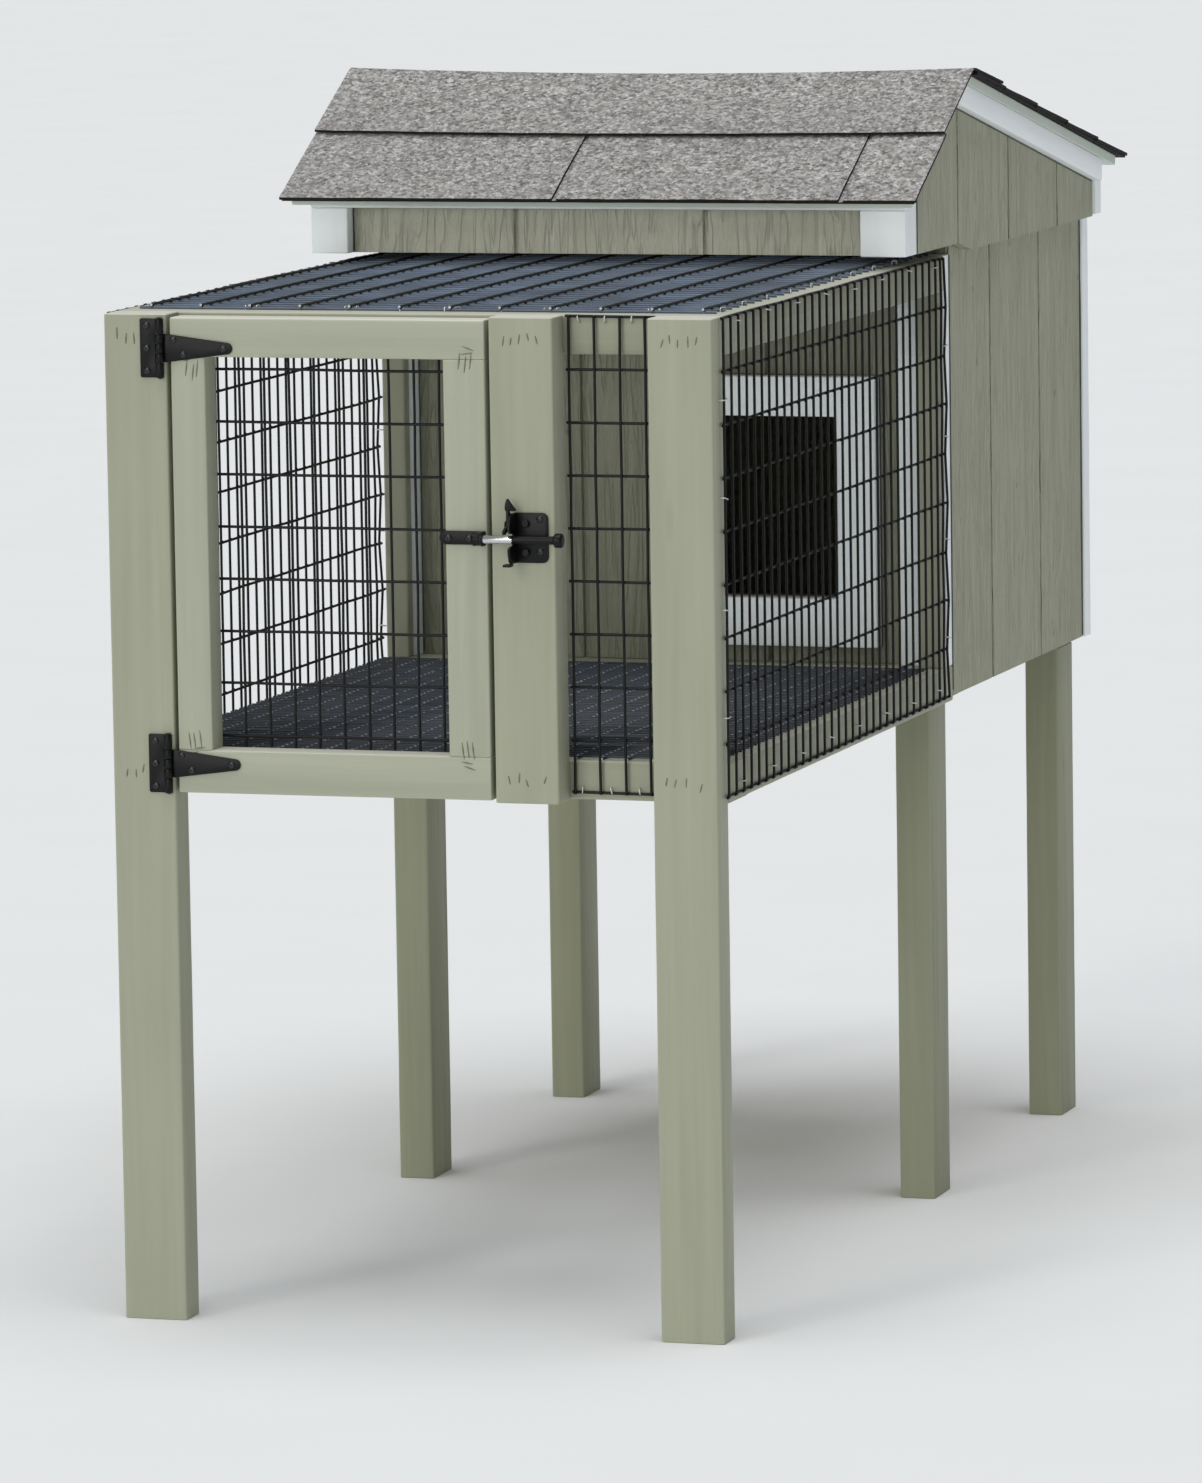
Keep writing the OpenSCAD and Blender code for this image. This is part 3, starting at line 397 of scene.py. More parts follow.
def loft(rings, n):
    """Quads between rings of n points each, and a cap at both ends."""
    faces = []
    for j in range(rings - 1):
        for i in range(n):
            k = (i + 1) % n
            faces.append([j * n + i, j * n + k, (j + 1) * n + k, (j + 1) * n + i])
    return faces + [list(range(n)), [(rings - 1) * n + i for i in range(n)]]


def ring(at, a, b, r, n):
    """n points around at, in the plane of a and b."""
    turns = [2 * math.pi * k / n for k in range(n)]
    return [at + (a * math.cos(t) + b * math.sin(t)) * r for t in turns]


def board(sh, lo, hi, axis, r=3.0, step=42.0, wobble=0.3, warp=None, ends=0.8):
    """A planed board along axis, with eased edges that waver a little."""
    a, (b, c) = axis, [k for k in range(3) if k != axis]
    length = hi[a] - lo[a]
    hb, hc = (hi[b] - lo[b]) / 2, (hi[c] - lo[c]) / 2
    mb, mc = (hi[b] + lo[b]) / 2, (hi[c] + lo[c]) / 2
    r = min(r, hb * 0.45, hc * 0.45)
    e = min(ends, r)
    prof = []
    for sb, sc, a0 in ((1, 1, 0), (-1, 1, 90), (-1, -1, 180), (1, -1, 270)):
        for k in range(4):
            t = math.radians(a0 + 30 * k)
            # the middle of each rounded corner gets the full painted edge highlight
            edge_highlight = 1.0 if k in (1, 2) else 0.15
            prof.append((sb * (hb - r) + r * math.cos(t), sc * (hc - r) + r * math.sin(t), edge_highlight))
    count = max(2, round(length / step))
    rings = [(length * k / count, 0.0) for k in range(1, count)]
    rings = [(0.0, e), (e, 0.0)] + rings + [(length - e, 0.0), (length, e)]
    off = grain_offset()
    verts, wood, edge = [], [], []
    for pos, inset in rings:
        for i, (pb, pc, ed) in enumerate(prof):
            corner = i // 4
            q = 0.5 + 0.5 * mnoise.noise(Vector((pos * 0.02 + off[0], corner * 3.7 + off[1], 0.0)))
            k = wobble * q
            x = [0.0, 0.0, 0.0]
            x[a] = lo[a] + pos
            x[b] = mb + pb * (1 - (inset + k) / max(hb, 1))
            x[c] = mc + pc * (1 - (inset + k) / max(hc, 1))
            wood.append((pos * MM + off[0], x[b] * MM + off[1], x[c] * MM + off[2]))
            verts.append(warp(x) if warp else tuple(x))
            edge.append(1.0 if inset else ed)
    sh.put(verts, loft(len(rings), len(prof)), wood, edge)


GROOVE_W, GROOVE_D, GROOVE_LIP = 6.0, 4.5, 1.2


def siding(sh, u0, u1, bottom, top, grooves, place, thick):
    """A panel with vertical grooves. place(u, inward, z) gives a point; bottom and top are functions of u."""
    marks = [(u0, 0.0), (u1, 0.0), (UNDER_Y, 0.0)]
    for g in grooves:
        if u0 + 8 < g < u1 - 8:
            a, b = g - GROOVE_W / 2, g + GROOVE_W / 2
            marks += [(a, 0.0), (a + GROOVE_LIP, GROOVE_D), (b - GROOVE_LIP, GROOVE_D), (b, 0.0)]
    marks = sorted(m for m in marks if u0 <= m[0] <= u1)
    cols = [marks[0]]
    for m in marks[1:]:
        gap = m[0] - cols[-1][0]
        if gap < 0.2:
            continue
        if gap > 70 and m[1] == 0 and cols[-1][1] == 0:
            k = int(gap // 60)
            a = cols[-1][0]
            cols += [(a + gap * j / (k + 1), 0.0) for j in range(1, k + 1)]
        cols.append(m)
    height = max(top(c[0]) - bottom(c[0]) for c in cols)
    rows = max(3, int(height // 60) + 1)
    off = grain_offset()
    verts, wood, edge, faces = [], [], [], []

    def add(u, inward, z):
        verts.append(place(u, inward, z))
        wood.append((z * MM + off[0], u * MM + off[1], inward * MM + off[2]))
        edge.append(0.0)
        return len(verts) - 1

    outer, back = [], []
    for u, inset in cols:
        b, t = bottom(u), top(u)
        outer.append([add(u, inset, b + (t - b) * j / rows) for j in range(rows + 1)])
        back.append((add(u, thick, b), add(u, thick, t)))
    for i in range(len(cols) - 1):
        for j in range(rows):
            faces.append([outer[i][j], outer[i + 1][j], outer[i + 1][j + 1], outer[i][j + 1]])
        faces.append([back[i][0], back[i][1], back[i + 1][1], back[i + 1][0]])
        faces.append([outer[i][0], back[i][0], back[i + 1][0], outer[i + 1][0]])
        faces.append([outer[i][-1], outer[i + 1][-1], back[i + 1][1], back[i][1]])
    for i in (0, -1):
        faces.append(outer[i] + [back[i][1], back[i][0]])
    sh.put(verts, faces, wood, edge)


def tube(sh, pts, r, n=8, cap_mat=0, up=None, radii=None):
    """A round bar through points, closed at both ends."""
    pts = [Vector(p) for p in pts]
    verts = []
    for i, p in enumerate(pts):
        d = (pts[min(i + 1, len(pts) - 1)] - pts[max(i - 1, 0)]).normalized()
        ref = Vector(up) if up else (Vector((0, 0, 1)) if abs(d.z) < 0.8 else Vector((0, 1, 0)))
        a = d.cross(ref).normalized()
        verts += ring(p, a, d.cross(a), radii[i] if radii else r, n)
    faces = loft(len(pts), n)
    sh.put(verts, faces, mats=[0] * (len(faces) - 2) + [cap_mat] * 2)


def bead(sh, at, r, squash=(1, 1, 1), mat=0):
    """A small weld bead at a wire crossing."""
    verts, faces = [], []
    rows, n = 3, 6
    rx, ry, rz = (r * q for q in squash)
    verts.append((at[0], at[1], at[2] + rz))
    for j in range(1, rows + 1):
        t = math.pi * j / (rows + 1)
        for k in range(n):
            p = 2 * math.pi * k / n
            verts.append((at[0] + rx * math.sin(t) * math.cos(p), at[1] + ry * math.sin(t) * math.sin(p),
                          at[2] + rz * math.cos(t)))
    verts.append((at[0], at[1], at[2] - rz))
    last = len(verts) - 1
    for k in range(n):
        q = (k + 1) % n
        faces.append([0, 1 + k, 1 + q])
        for j in range(rows - 1):
            faces.append([1 + j * n + k, 1 + (j + 1) * n + k, 1 + (j + 1) * n + q, 1 + j * n + q])
        faces.append([last, 1 + (rows - 1) * n + q, 1 + (rows - 1) * n + k])
    sh.put(verts, faces, mat=mat)


def inset_outline(pts, d):
    """The outline moved inwards by d; pts run anticlockwise."""
    out = []
    n = len(pts)
    for i in range(n):
        p, a, b = Vector(pts[i]), Vector(pts[i - 1]), Vector(pts[(i + 1) % n])
        e1, e2 = (p - a).normalized(), (b - p).normalized()
        n1, n2 = Vector((-e1.y, e1.x)), Vector((-e2.y, e2.x))
        m = (n1 + n2)
        m = m.normalized() if m.length > 1e-6 else n1
        out.append(p + m * (d / max(m.dot(n1), 0.4)))
    return out


def plate(sh, outline, thick, place, soft=0.45):
    """A stamped plate with softened edges. The outline is anticlockwise; place(x, y, depth) gives a point."""
    levels = [(soft, 0.0), (soft * 0.3, soft * 0.3), (0.0, soft),
              (0.0, thick - soft), (soft * 0.3, thick - soft * 0.3), (soft, thick)]
    verts = []
    for ins, depth in levels:
        line = inset_outline(outline, ins) if ins else [Vector(q) for q in outline]
        verts += [place(p[0], p[1], depth) for p in line]
    sh.put(verts, loft(len(levels), len(outline)))


def anticlockwise(pts):
    """The outline in the order that plate() wants."""
    area = sum(a[0] * b[1] - b[0] * a[1] for a, b in zip(pts, pts[1:] + pts[:1]))
    return pts if area > 0 else pts[::-1]


def arc(cx, cy, r, a0, a1, n=6):
    """Points along an arc, from a0 to a1 degrees."""
    turns = [math.radians(a0 + (a1 - a0) * k / n) for k in range(n + 1)]
    return [(cx + r * math.cos(t), cy + r * math.sin(t)) for t in turns]


def lathe(sh, profile, origin, axis, n=20, mat=0):
    """profile: (distance along axis, radius) pairs."""
    axis = Vector(axis).normalized()
    ref = Vector((0, 0, 1)) if abs(axis.z) < 0.9 else Vector((1, 0, 0))
    a = axis.cross(ref).normalized()
    b = axis.cross(a)
    o = Vector(origin)
    verts = []
    for s, r in profile:
        verts += ring(o + axis * s, a, b, max(r, 0.01), n)
    sh.put(verts, loft(len(profile), n), mat=mat)


def cut_away(ob, cutter):
    """Takes the cutter out of ob, and removes the cutter."""
    mod = ob.modifiers.new("cut", "BOOLEAN")
    mod.object, mod.operation, mod.solver = cutter, "DIFFERENCE", "EXACT"
    bpy.context.view_layer.update()
    ob_now = ob.evaluated_get(bpy.context.evaluated_depsgraph_get())
    me = bpy.data.meshes.new_from_object(ob_now)
    ob.modifiers.clear()
    ob.data = me
    bpy.data.objects.remove(cutter)


def screw_template():
    """A pan head with a cross recess, standing on z = 0."""
    bm = bmesh.new()
    prof = [(3.35, 0.0), (3.4, 0.35), (3.1, 0.95), (2.4, 1.38), (1.2, 1.58)]
    n = 24
    turns = [2 * math.pi * k / n for k in range(n)]
    rings = [[bm.verts.new((r * math.cos(t), r * math.sin(t), z)) for t in turns] for r, z in prof]
    for j in range(len(rings) - 1):
        for k in range(n):
            bm.faces.new([rings[j][k], rings[j][(k + 1) % n], rings[j + 1][(k + 1) % n], rings[j + 1][k]])
    bm.faces.new(rings[-1])
    bm.faces.new(list(reversed(rings[0])))
    head = bpy.data.meshes.new("screw_head")
    bm.to_mesh(head)
    bm.free()
    bm = bmesh.new()
    w, arm = 0.42, 1.75
    out = [(w, w), (w, arm), (-w, arm), (-w, w), (-arm, w), (-arm, -w),
           (-w, -w), (-w, -arm), (w, -arm), (w, -w), (arm, -w), (arm, w)]
    low = [bm.verts.new((x * 0.55, y * 0.55, 0.5)) for x, y in out]
    high = [bm.verts.new((x, y, 2.5)) for x, y in out]
    bm.faces.new(high)
    bm.faces.new(list(reversed(low)))
    for i in range(12):
        k = (i + 1) % 12
        bm.faces.new([low[i], low[k], high[k], high[i]])
    bmesh.ops.recalc_face_normals(bm, faces=bm.faces)
    cut = bpy.data.meshes.new("screw_cross")
    bm.to_mesh(cut)
    bm.free()
    ob = add_object("screw_head", head)
    cut_away(ob, add_object("screw_cross", cut))
    verts = [tuple(v.co) for v in ob.data.vertices]
    faces = [list(p.vertices) for p in ob.data.polygons]
    bpy.data.objects.remove(ob)
    return verts, faces


SCREW_V, SCREW_F = screw_template()


def screw(sh, x, y, z, facing=-1, turn=0.0):
    """A screw head lying on a face that looks along -Y (facing -1) or +Y."""
    rot = Matrix.Rotation(math.radians(90 if facing < 0 else -90), 3, "X") @ Matrix.Rotation(turn, 3, "Z")
    sh.put([Vector((x, y, z)) + rot @ Vector(v) for v in SCREW_V], SCREW_F)


def staple(sh, at, along, out, w=10.5, h=6.6, r=0.62, tilt=0.0):
    """A wire staple: crown along one direction, standing h out from the wood."""
    along, out = Vector(along).normalized(), Vector(out).normalized()
    if tilt:
        along = Matrix.Rotation(tilt, 3, out) @ along
    at = Vector(at)
    path = [(-w / 2, 0), (-w / 2, h - 1.7), (-w / 2 + 0.35, h - 0.95), (-w / 2 + 1.1, h - r), (0, h - r),
            (w / 2 - 1.1, h - r), (w / 2 - 0.35, h - 0.95), (w / 2, h - 1.7), (w / 2, 0)]
    tube(sh, [at + along * a + out * b for a, b in path], r, n=6, up=along.cross(out))


# ---------------------------------------------------------------- posts, legs and rails
def upright(name, node, mat, slot="frame_paint"):
    """A post or a leg, in one piece."""
    sh = Shell()
    lo, hi = mm_box(node)
    board(sh, lo, hi, 2)
    sh.make(name, "hutch", mat, node, slot)


upright("post_left", "front_left_post", KHAKI)
upright("post_right", "front_right_post", KHAKI)
upright("jamb", "door_jamb", KHAKI)
for leg in ("mid_left_leg", "mid_right_leg", "rear_left_leg", "rear_right_leg"):
    upright("board_" + leg, leg, KHAKI_LEG_SHADED, "leg_paint")

sh = Shell()
for z in (RUN_Z0, RUN_Z1 - LUM):
    board(sh, (RUN_LO[0], RUN_LO[1], z), (RUN_HI[0], RUN_HI[1], z + LUM), 0)
sh.make("front_rails", "hutch", KHAKI_RAIL, "run_front_rails", "frame_paint")
for side in ("left", "right"):
    sh = Shell()
    lo, hi = mm_box("run_%s_rails" % side)
    board(sh, lo, (hi[0], hi[1], lo[2] + LUM), 1)
    board(sh, (lo[0], lo[1], hi[2] - LUM), (hi[0], TRIM_Y, hi[2]), 1)
    sh.make("rails_" + side, "hutch", KHAKI_RAIL, "run_%s_rails" % side, "frame_paint")
sh = Shell()
lo, hi = mm_box("run_rear_rails")
for z in (lo[2], hi[2] - LUM):
    board(sh, (lo[0], lo[1], z), (hi[0], hi[1], z + LUM), 0)
sh.make("rear_rails", "hutch", KHAKI_RAIL, "run_rear_rails", "frame_paint")
sh = Shell()
lo, hi = mm_box("run_rear_studs")
for x0, x1 in ((lo[0], lo[0] + 25), (hi[0] - 25, hi[0])):
    board(sh, (x0, lo[1], lo[2]), (x1, hi[1], hi[2]), 2)
sh.make("rear_studs", "hutch", KHAKI_RAIL, "run_rear_studs", "frame_paint")

# fastener marks: staple crowns painted over, in short rows; they are coloured darker than the paint, as
# painted shade in the grooves around them
def mark(sh, x, z, dx, dz, end, middle):
    """A low bar from (x - dx, z - dz) to (x + dx, z + dz), whose middle stands proud of the wood."""
    pts = [(x - dx, FY + 0.25, z - dz), (x, FY - 0.12, z), (x + dx, FY + 0.25, z + dz)]
    tube(sh, pts, middle, n=6, up=(0, 1, 0), radii=[end, middle, end])


JAMB_LO, JAMB_HI = mm_box("door_jamb")
sh = Shell()
for cx in (-(HALF - 32), HALF - 32, (JAMB_LO[0] + JAMB_HI[0]) / 2):
    for cz in (RUN_Z1 - 21, RUN_Z0 + 22):
        for k in range(5):
            if k == 3 and cz < RUN_Z1 - 21:
                continue
            x, z = cx + (k - 2) * 8.6 + rng.uniform(-1.5, 1.5), cz + rng.uniform(-3, 3)
            mark(sh, x, z, rng.uniform(-1.2, 1.2), rng.uniform(7, 11) / 2, 0.55, 0.8)
sh.make("fastener_marks", "hutch", MARK_SHADE, (), "frame_paint")

# ---------------------------------------------------------------- welded wire
CLOSE, WIDE, WR = 25.4, 50.8, 1.4
BEAD_R = 1.75
WALL_WIRES, SIDE_WIRES = 10, 33
TOP_Y0, TOP_WIRES, TOP_CROSS = FY + 66, 12, 31
FLOOR_Y0, FLOOR_WIRES, FLOOR_CROSS, FLOOR_WR = FY + 48, 23, 59, 1.0
DOOR_X0, DOOR_WIRES, DOOR_TOP, DOOR_CROSS = -206.4, 11, 928.6, 8


def wob(p, amp, seed):
    n = mnoise.noise_vector(Vector((p[0] * 0.011 + seed, p[1] * 0.011, p[2] * 0.011 + seed * 0.37)))
    return n * amp


def wire(sh, p0, p1, r, seed, amp=0.45, fix=(1, 1, 1), step=50.0, n=8, bend=None):
    p0, p1 = Vector(p0), Vector(p1)
    count = max(2, int((p1 - p0).length // step))
    pts = []
    for k in range(count + 1):
        p = p0.lerp(p1, k / count)
        w = wob(p, amp, seed)
        p = p + Vector((w.x * fix[0], w.y * fix[1], w.z * fix[2]))
        pts.append(bend(p) if bend else p)
    tube(sh, pts, r, n=n, cap_mat=1)


# sides
for side, s in (("left", -1), ("right", 1)):
    sh = Shell()
    lo, hi = mm_box("run_%s_mesh" % side)
    xin, xout = s * (HALF + WR), s * (HALF + 3 * WR)
    z_top = hi[2] - WR
    rear = hi[1] - WR

    def ripple(p, s=s, rear=rear):
        k = max(0.0, (p.y - (rear - 70)) / 70)
        pull = 17.0 - 5.0 * math.sin(p.z * 0.062 + 1.0)
        return Vector((p.x, p.y - pull * k * k, p.z + 0.8 * k * math.sin(p.z * 0.1)))

    for k in range(WALL_WIRES):
        z = z_top - k * WIDE
        wire(sh, (xin, lo[1] + WR, z), (xin, rear, z), WR, 10 + k + s, 0.9, (0, 0, 1), bend=ripple)
    for k in range(SIDE_WIRES):
        y = FY + CLOSE * (k + 1)
        wire(sh, (xout, y, lo[2] + 1), (xout, y, hi[2] - 0.2), WR, 40 + k + s, 0.8, (0, 1, 0), bend=ripple)
        for j in range(WALL_WIRES):
            bead(sh, ripple(Vector((s * (HALF + 2 * WR), y, z_top - j * WIDE))), BEAD_R, (0.9, 1, 1))
    sh.make("wire_" + side, "hutch", [VINYL, WIRE_END], "run_%s_mesh" % side, "coated_wire", ROUND_ANGLE)

# top: the wires that run back lie over the ones that run across
sh, sh2 = Shell(), Shell()
lo, hi = mm_box("run_top_mesh")
for k in range(TOP_CROSS):
    y = TOP_Y0 + k * CLOSE
    wire(sh, (lo[0], y, lo[2] + WR), (hi[0], y, lo[2] + WR), WR, 80 + k, 0.7, (0, 1, 0))
for k in range(TOP_WIRES):
    x = (k - (TOP_WIRES - 1) / 2) * WIDE
    wire(sh2, (x, lo[1], lo[2] + 3 * WR), (x, hi[1], lo[2] + 3 * WR), WR, 120 + k, 0.8, (1, 0, 0))
    for j in range(TOP_CROSS):
        bead(sh2, (x, TOP_Y0 + j * CLOSE, lo[2] + 2 * WR), BEAD_R, (1, 1, 0.9))
# the wires that run across take the bluish top vinyl: painted sky reflection
sh.make("wire_top", "hutch", [VINYL_TOP_SKY_REFLECTION, WIRE_END], "run_top_mesh", "coated_wire", ROUND_ANGLE)
sh2.make("wire_top_back", "hutch", [VINYL, WIRE_END], (), "coated_wire", ROUND_ANGLE)

# floor
sh = Shell()
lo, hi = mm_box("run_floor_mesh")
for k in range(FLOOR_CROSS):
    y, z = FLOOR_Y0 + k * CLOSE / 2, lo[2] + 3
    wire(sh, (lo[0], y, z), (hi[0], y, z), FLOOR_WR, 150 + k, 0.5, (0, 1, 0), step=75, n=6)
for k in range(FLOOR_WIRES):
    x, z = (k - (FLOOR_WIRES - 1) // 2) * CLOSE, lo[2] + 1
    wire(sh, (x, lo[1], z), (x, hi[1], z), FLOOR_WR, 220 + k, 0.5, (1, 0, 0), step=75, n=6)
    # the weld beads are pale: painted glints at the crossings
    for j in range(FLOOR_CROSS):
        if rng.random() < 0.93:
            at = (x, FLOOR_Y0 + j * CLOSE / 2, lo[2] + 3.4)
            bead(sh, at, rng.uniform(1.1, 1.6), (1.5, 0.75, 0.75), mat=2)
sh.make("wire_floor", "hutch", [VINYL_FLOOR_SKY_REFLECTION, WIRE_END, WELD_GLINT], "run_floor_mesh", "coated_wire", ROUND_ANGLE)

# narrow front panel
sh = Shell()
lo, hi = mm_box("run_front_mesh")
PANEL_X0 = JAMB_HI[0] + 6
for k in range(WALL_WIRES):
    z = RUN_Z1 - WR - k * WIDE
    wire(sh, (lo[0], hi[1] - WR, z), (hi[0], hi[1] - WR, z), WR, 250 + k, 0.8, (0, 0, 1), step=25)
for k in range(4):
    x = PANEL_X0 + k * CLOSE
    wire(sh, (x, lo[1] + WR, lo[2]), (x, lo[1] + WR, hi[2]), WR, 270 + k, 0.8, (1, 0, 0))
    for j in range(WALL_WIRES):
        bead(sh, (x, hi[1] - 2 * WR, RUN_Z1 - WR - j * WIDE), BEAD_R, (1, 0.9, 1))
sh.make("wire_front", "hutch", [VINYL, WIRE_END], "run_front_mesh", "coated_wire", ROUND_ANGLE)

# door
sh = Shell()
lo, hi = mm_box("door_mesh")
for k in range(DOOR_CROSS):
    z = DOOR_TOP - k * WIDE
    wire(sh, (lo[0], lo[1] + WR, z), (hi[0], lo[1] + WR, z), WR, 290 + k, 0.9, (0, 0, 1))
for k in range(DOOR_WIRES):
    x = DOOR_X0 + k * CLOSE
    wire(sh, (x, hi[1] - WR, lo[2]), (x, hi[1] - WR, hi[2]), WR, 310 + k, 0.9, (1, 0, 0))
    for j in range(DOOR_CROSS):
        bead(sh, (x, lo[1] + 2 * WR, DOOR_TOP - j * WIDE), BEAD_R, (1, 0.9, 1))
sh.make("wire_door", "door", [VINYL, WIRE_END], "door_mesh", "coated_wire", ROUND_ANGLE)

# staples over the wire
sh = Shell()
UP, BACKWARDS, FORWARDS = (0, 0, 1), (0, 1, 0), (0, -1, 0)
WIRE_TOP = RUN_Z1 - WR
WIRE_LOW = WIRE_TOP - (WALL_WIRES - 1) * WIDE
for s in (-1, 1):
    for k in range(10):
        at = (s * (290 + rng.uniform(-1.5, 1.5)), TOP_Y0 + CLOSE * (3 * k + 1), RUN_Z1)
        staple(sh, at, BACKWARDS, UP, w=7.5, h=4.6, tilt=rng.uniform(-0.5, 0.5))
    for k in range(8):
        for z in (WIRE_TOP - 5, WIRE_LOW + 12):
            at = (s * HALF, FY + CLOSE * (4 * k + 3), z + rng.uniform(-2, 2))
            staple(sh, at, BACKWARDS, (s, 0, 0), w=8.5, tilt=rng.uniform(-0.2, 0.2))
    for k in range(1, 9, 2):
        z = WIRE_TOP - WIDE * k - 22 + rng.uniform(-4, 4)
        for at in ((s * HALF, FY + CLOSE, z), (s * HALF, FY + CLOSE * SIDE_WIRES - 17, z - 14)):
            staple(sh, at, BACKWARDS, (s, 0, 0), w=8.5, tilt=rng.uniform(-0.25, 0.25))
for k in range(-5, 6):
    x = (k + 0.5) * WIDE
    for dx in ((0,) if k % 2 else (-6, 5)):
        at = (x + dx, TOP_Y0 + 3 + (dx > 0) * 3, RUN_Z1)
        staple(sh, at, BACKWARDS, UP, w=7.0, h=4.4, tilt=rng.uniform(-0.7, 0.7))
for k in (0, 1, 3):
    for z in (WIRE_TOP - 2.5, WIRE_LOW + 2.5):
        x = PANEL_X0 + k * CLOSE + rng.uniform(6, 12)
        at = (x if k < 3 else x - 20, FY + LUM, z)
        staple(sh, at, UP, FORWARDS, w=6.0, h=4.2, tilt=rng.uniform(-0.3, 0.3))
sh.make("wire_staples", "hutch", STAPLE, "mesh_staples", "staple_steel", ROUND_ANGLE)

# ---------------------------------------------------------------- door
DL, DR = mm_box("door_top_rail")[0][0], mm_box("door_top_rail")[1][0]
for node in ("door_hinge_stile", "door_latch_stile", "door_top_rail", "door_bottom_rail"):
    sh = Shell()
    lo, hi = mm_box(node)
    board(sh, lo, hi, 2 if "stile" in node else 0, 2.2, ends=0.6, wobble=0.15)
    sh.make("board_" + node, "door", KHAKI_DOOR, node, "door_paint")
sh = Shell()
seam_top, seam_low = mm_box("door_top_rail")[0][2], mm_box("door_bottom_rail")[1][2]
corners = ((DR - 20, seam_top, 1), (DR - 22, seam_low, -1),
           (DL + 22, seam_top - 8, 1), (DL + 18, seam_low + 8, -1))
for x, z, way in corners:
    for k in range(3):
        px, pz = x + 5.5 * (k - 1) + rng.uniform(-1, 1), z - way * 5 + rng.uniform(-4, 4)
        mark(sh, px, pz, way, 8, 0.5, 0.85)
    for k in range(2):
        px, pz = x + rng.uniform(-4, 4), z + way * (6 + 5 * k)
        mark(sh, px, pz, 6, rng.uniform(-3, 3), 0.4, 0.75)
sh.make("door_marks", "door", MARK_SHADE, (), "door_paint")

# ---------------------------------------------------------------- lower house
sh = Shell()
lo, hi = mm_box("house_floor_frame")
for x0, x1 in ((lo[0], lo[0] + LUM_W), (hi[0] - LUM_W, hi[0])):
    board(sh, (x0, lo[1] + LUM_W, lo[2]), (x1, hi[1] - LUM_W, hi[2]), 1)
for y0 in (lo[1], hi[1] - LUM_W):
    board(sh, (lo[0], y0, lo[2]), (hi[0], y0 + LUM_W, hi[2]), 0)
sh.make("floor_frame", "hutch", KHAKI_LEG_SHADED, "house_floor_frame", "leg_paint")
frame["nodes"]["house_floor"].data.materials.clear()
frame["nodes"]["house_floor"].data.materials.append(PLY)

for side, s in (("left", -1), ("right", 1)):
    sh = Shell()
    lo, hi = mm_box("house_%s_wall" % side)
    siding(sh, lo[1], hi[1], lambda u: lo[2], lambda u: hi[2], [FY + 1016, FY + 1219],
           lambda u, n, z: (s * (HALF - n), u, z), SID)
    sh.make("wall_" + side, "hutch", SIDING, "house_%s_wall" % side, "siding_paint", SIDING_ANGLE)


def cross_panel(name, node, body, mat, grooves, way):
    """A plain panel across the hutch that looks forwards (way 1) or backwards (way -1)."""
    sh = Shell()
    lo, hi = mm_box(node)
    face = lo[1] if way > 0 else hi[1]
    siding(sh, lo[0], hi[0], lambda u: lo[2], lambda u: hi[2], grooves,
           lambda u, n, z: (u, face + way * n, z), SID)
    return sh.make(name, body, mat, node, "siding_paint", SIDING_ANGLE)


cross_panel("wall_rear", "house_rear_wall", "hutch", SIDING, [-101, 102], -1)

PT_LO, PT_HI = mm_box("pop_hole_trim")
POP_BOARD, POP_SILL = 42, 51
POP_X0, POP_X1 = PT_LO[0] + POP_BOARD, PT_HI[0] - POP_BOARD
POP_Z0, POP_Z1 = PT_LO[2] + POP_SILL, PT_HI[2] - POP_BOARD
lo, hi = mm_box("house_front_wall")
# the front wall takes the darker siding copy: painted shade under the lid and the top wire
wall = cross_panel("wall_front", "house_front_wall", "hutch", SIDING_PAINTED_SHADE, [-94, 109], 1)
cut = Shell()
board(cut, (POP_X0, lo[1] - 20, POP_Z0), (POP_X1, hi[1] + 20, POP_Z1), 1, 0.01, wobble=0)
cut_me = bpy.data.meshes.new("pop_cut")
cut_me.from_pydata([(x * MM, y * MM, z * MM) for x, y, z in cut.v], [], cut.f)
outwards(cut_me)
cut_away(wall, add_object("pop_cut", cut_me))

sh = Shell()
lo, hi = mm_box("house_corner_studs")
for x0, x1 in ((lo[0], lo[0] + LUM), (hi[0] - LUM, hi[0])):
    for y0 in (lo[1], hi[1] - LUM):
        board(sh, (x0, y0, lo[2]), (x1, y0 + LUM, hi[2]), 2)
sh.make("corner_studs", "hutch", PINE, "house_corner_studs", "bare_wood")

sh = Shell()
TR = 1.6  # how far the edges of the white boards are rounded
FRONT_BOARD = {-1: 31, 1: 51}
REAR_BOARD, REAR_BAND = 44, 60
for s in (-1, 1):
    x0, x1 = sorted((s * (HALF - FRONT_BOARD[s]), s * HALF))
    board(sh, (x0, TRIM_Y, FLOOR_Z), (x1, HOUSE_Y0, RUN_Z1), 2, TR)
    x0, x1 = sorted((s * (HALF - REAR_BOARD), s * TRIM_HI[0]))
    board(sh, (x0, HOUSE_Y1, TRIM_LO[2]), (x1, TRIM_HI[1], RUN_Z1), 2, TR)
board(sh, (REAR_BOARD - HALF, HOUSE_Y1, RUN_Z1 - REAR_BAND), (HALF - REAR_BOARD, TRIM_HI[1], RUN_Z1), 0, TR)
sh.make("corner_boards", "hutch", WHITE, "house_corner_trim", "white_trim")

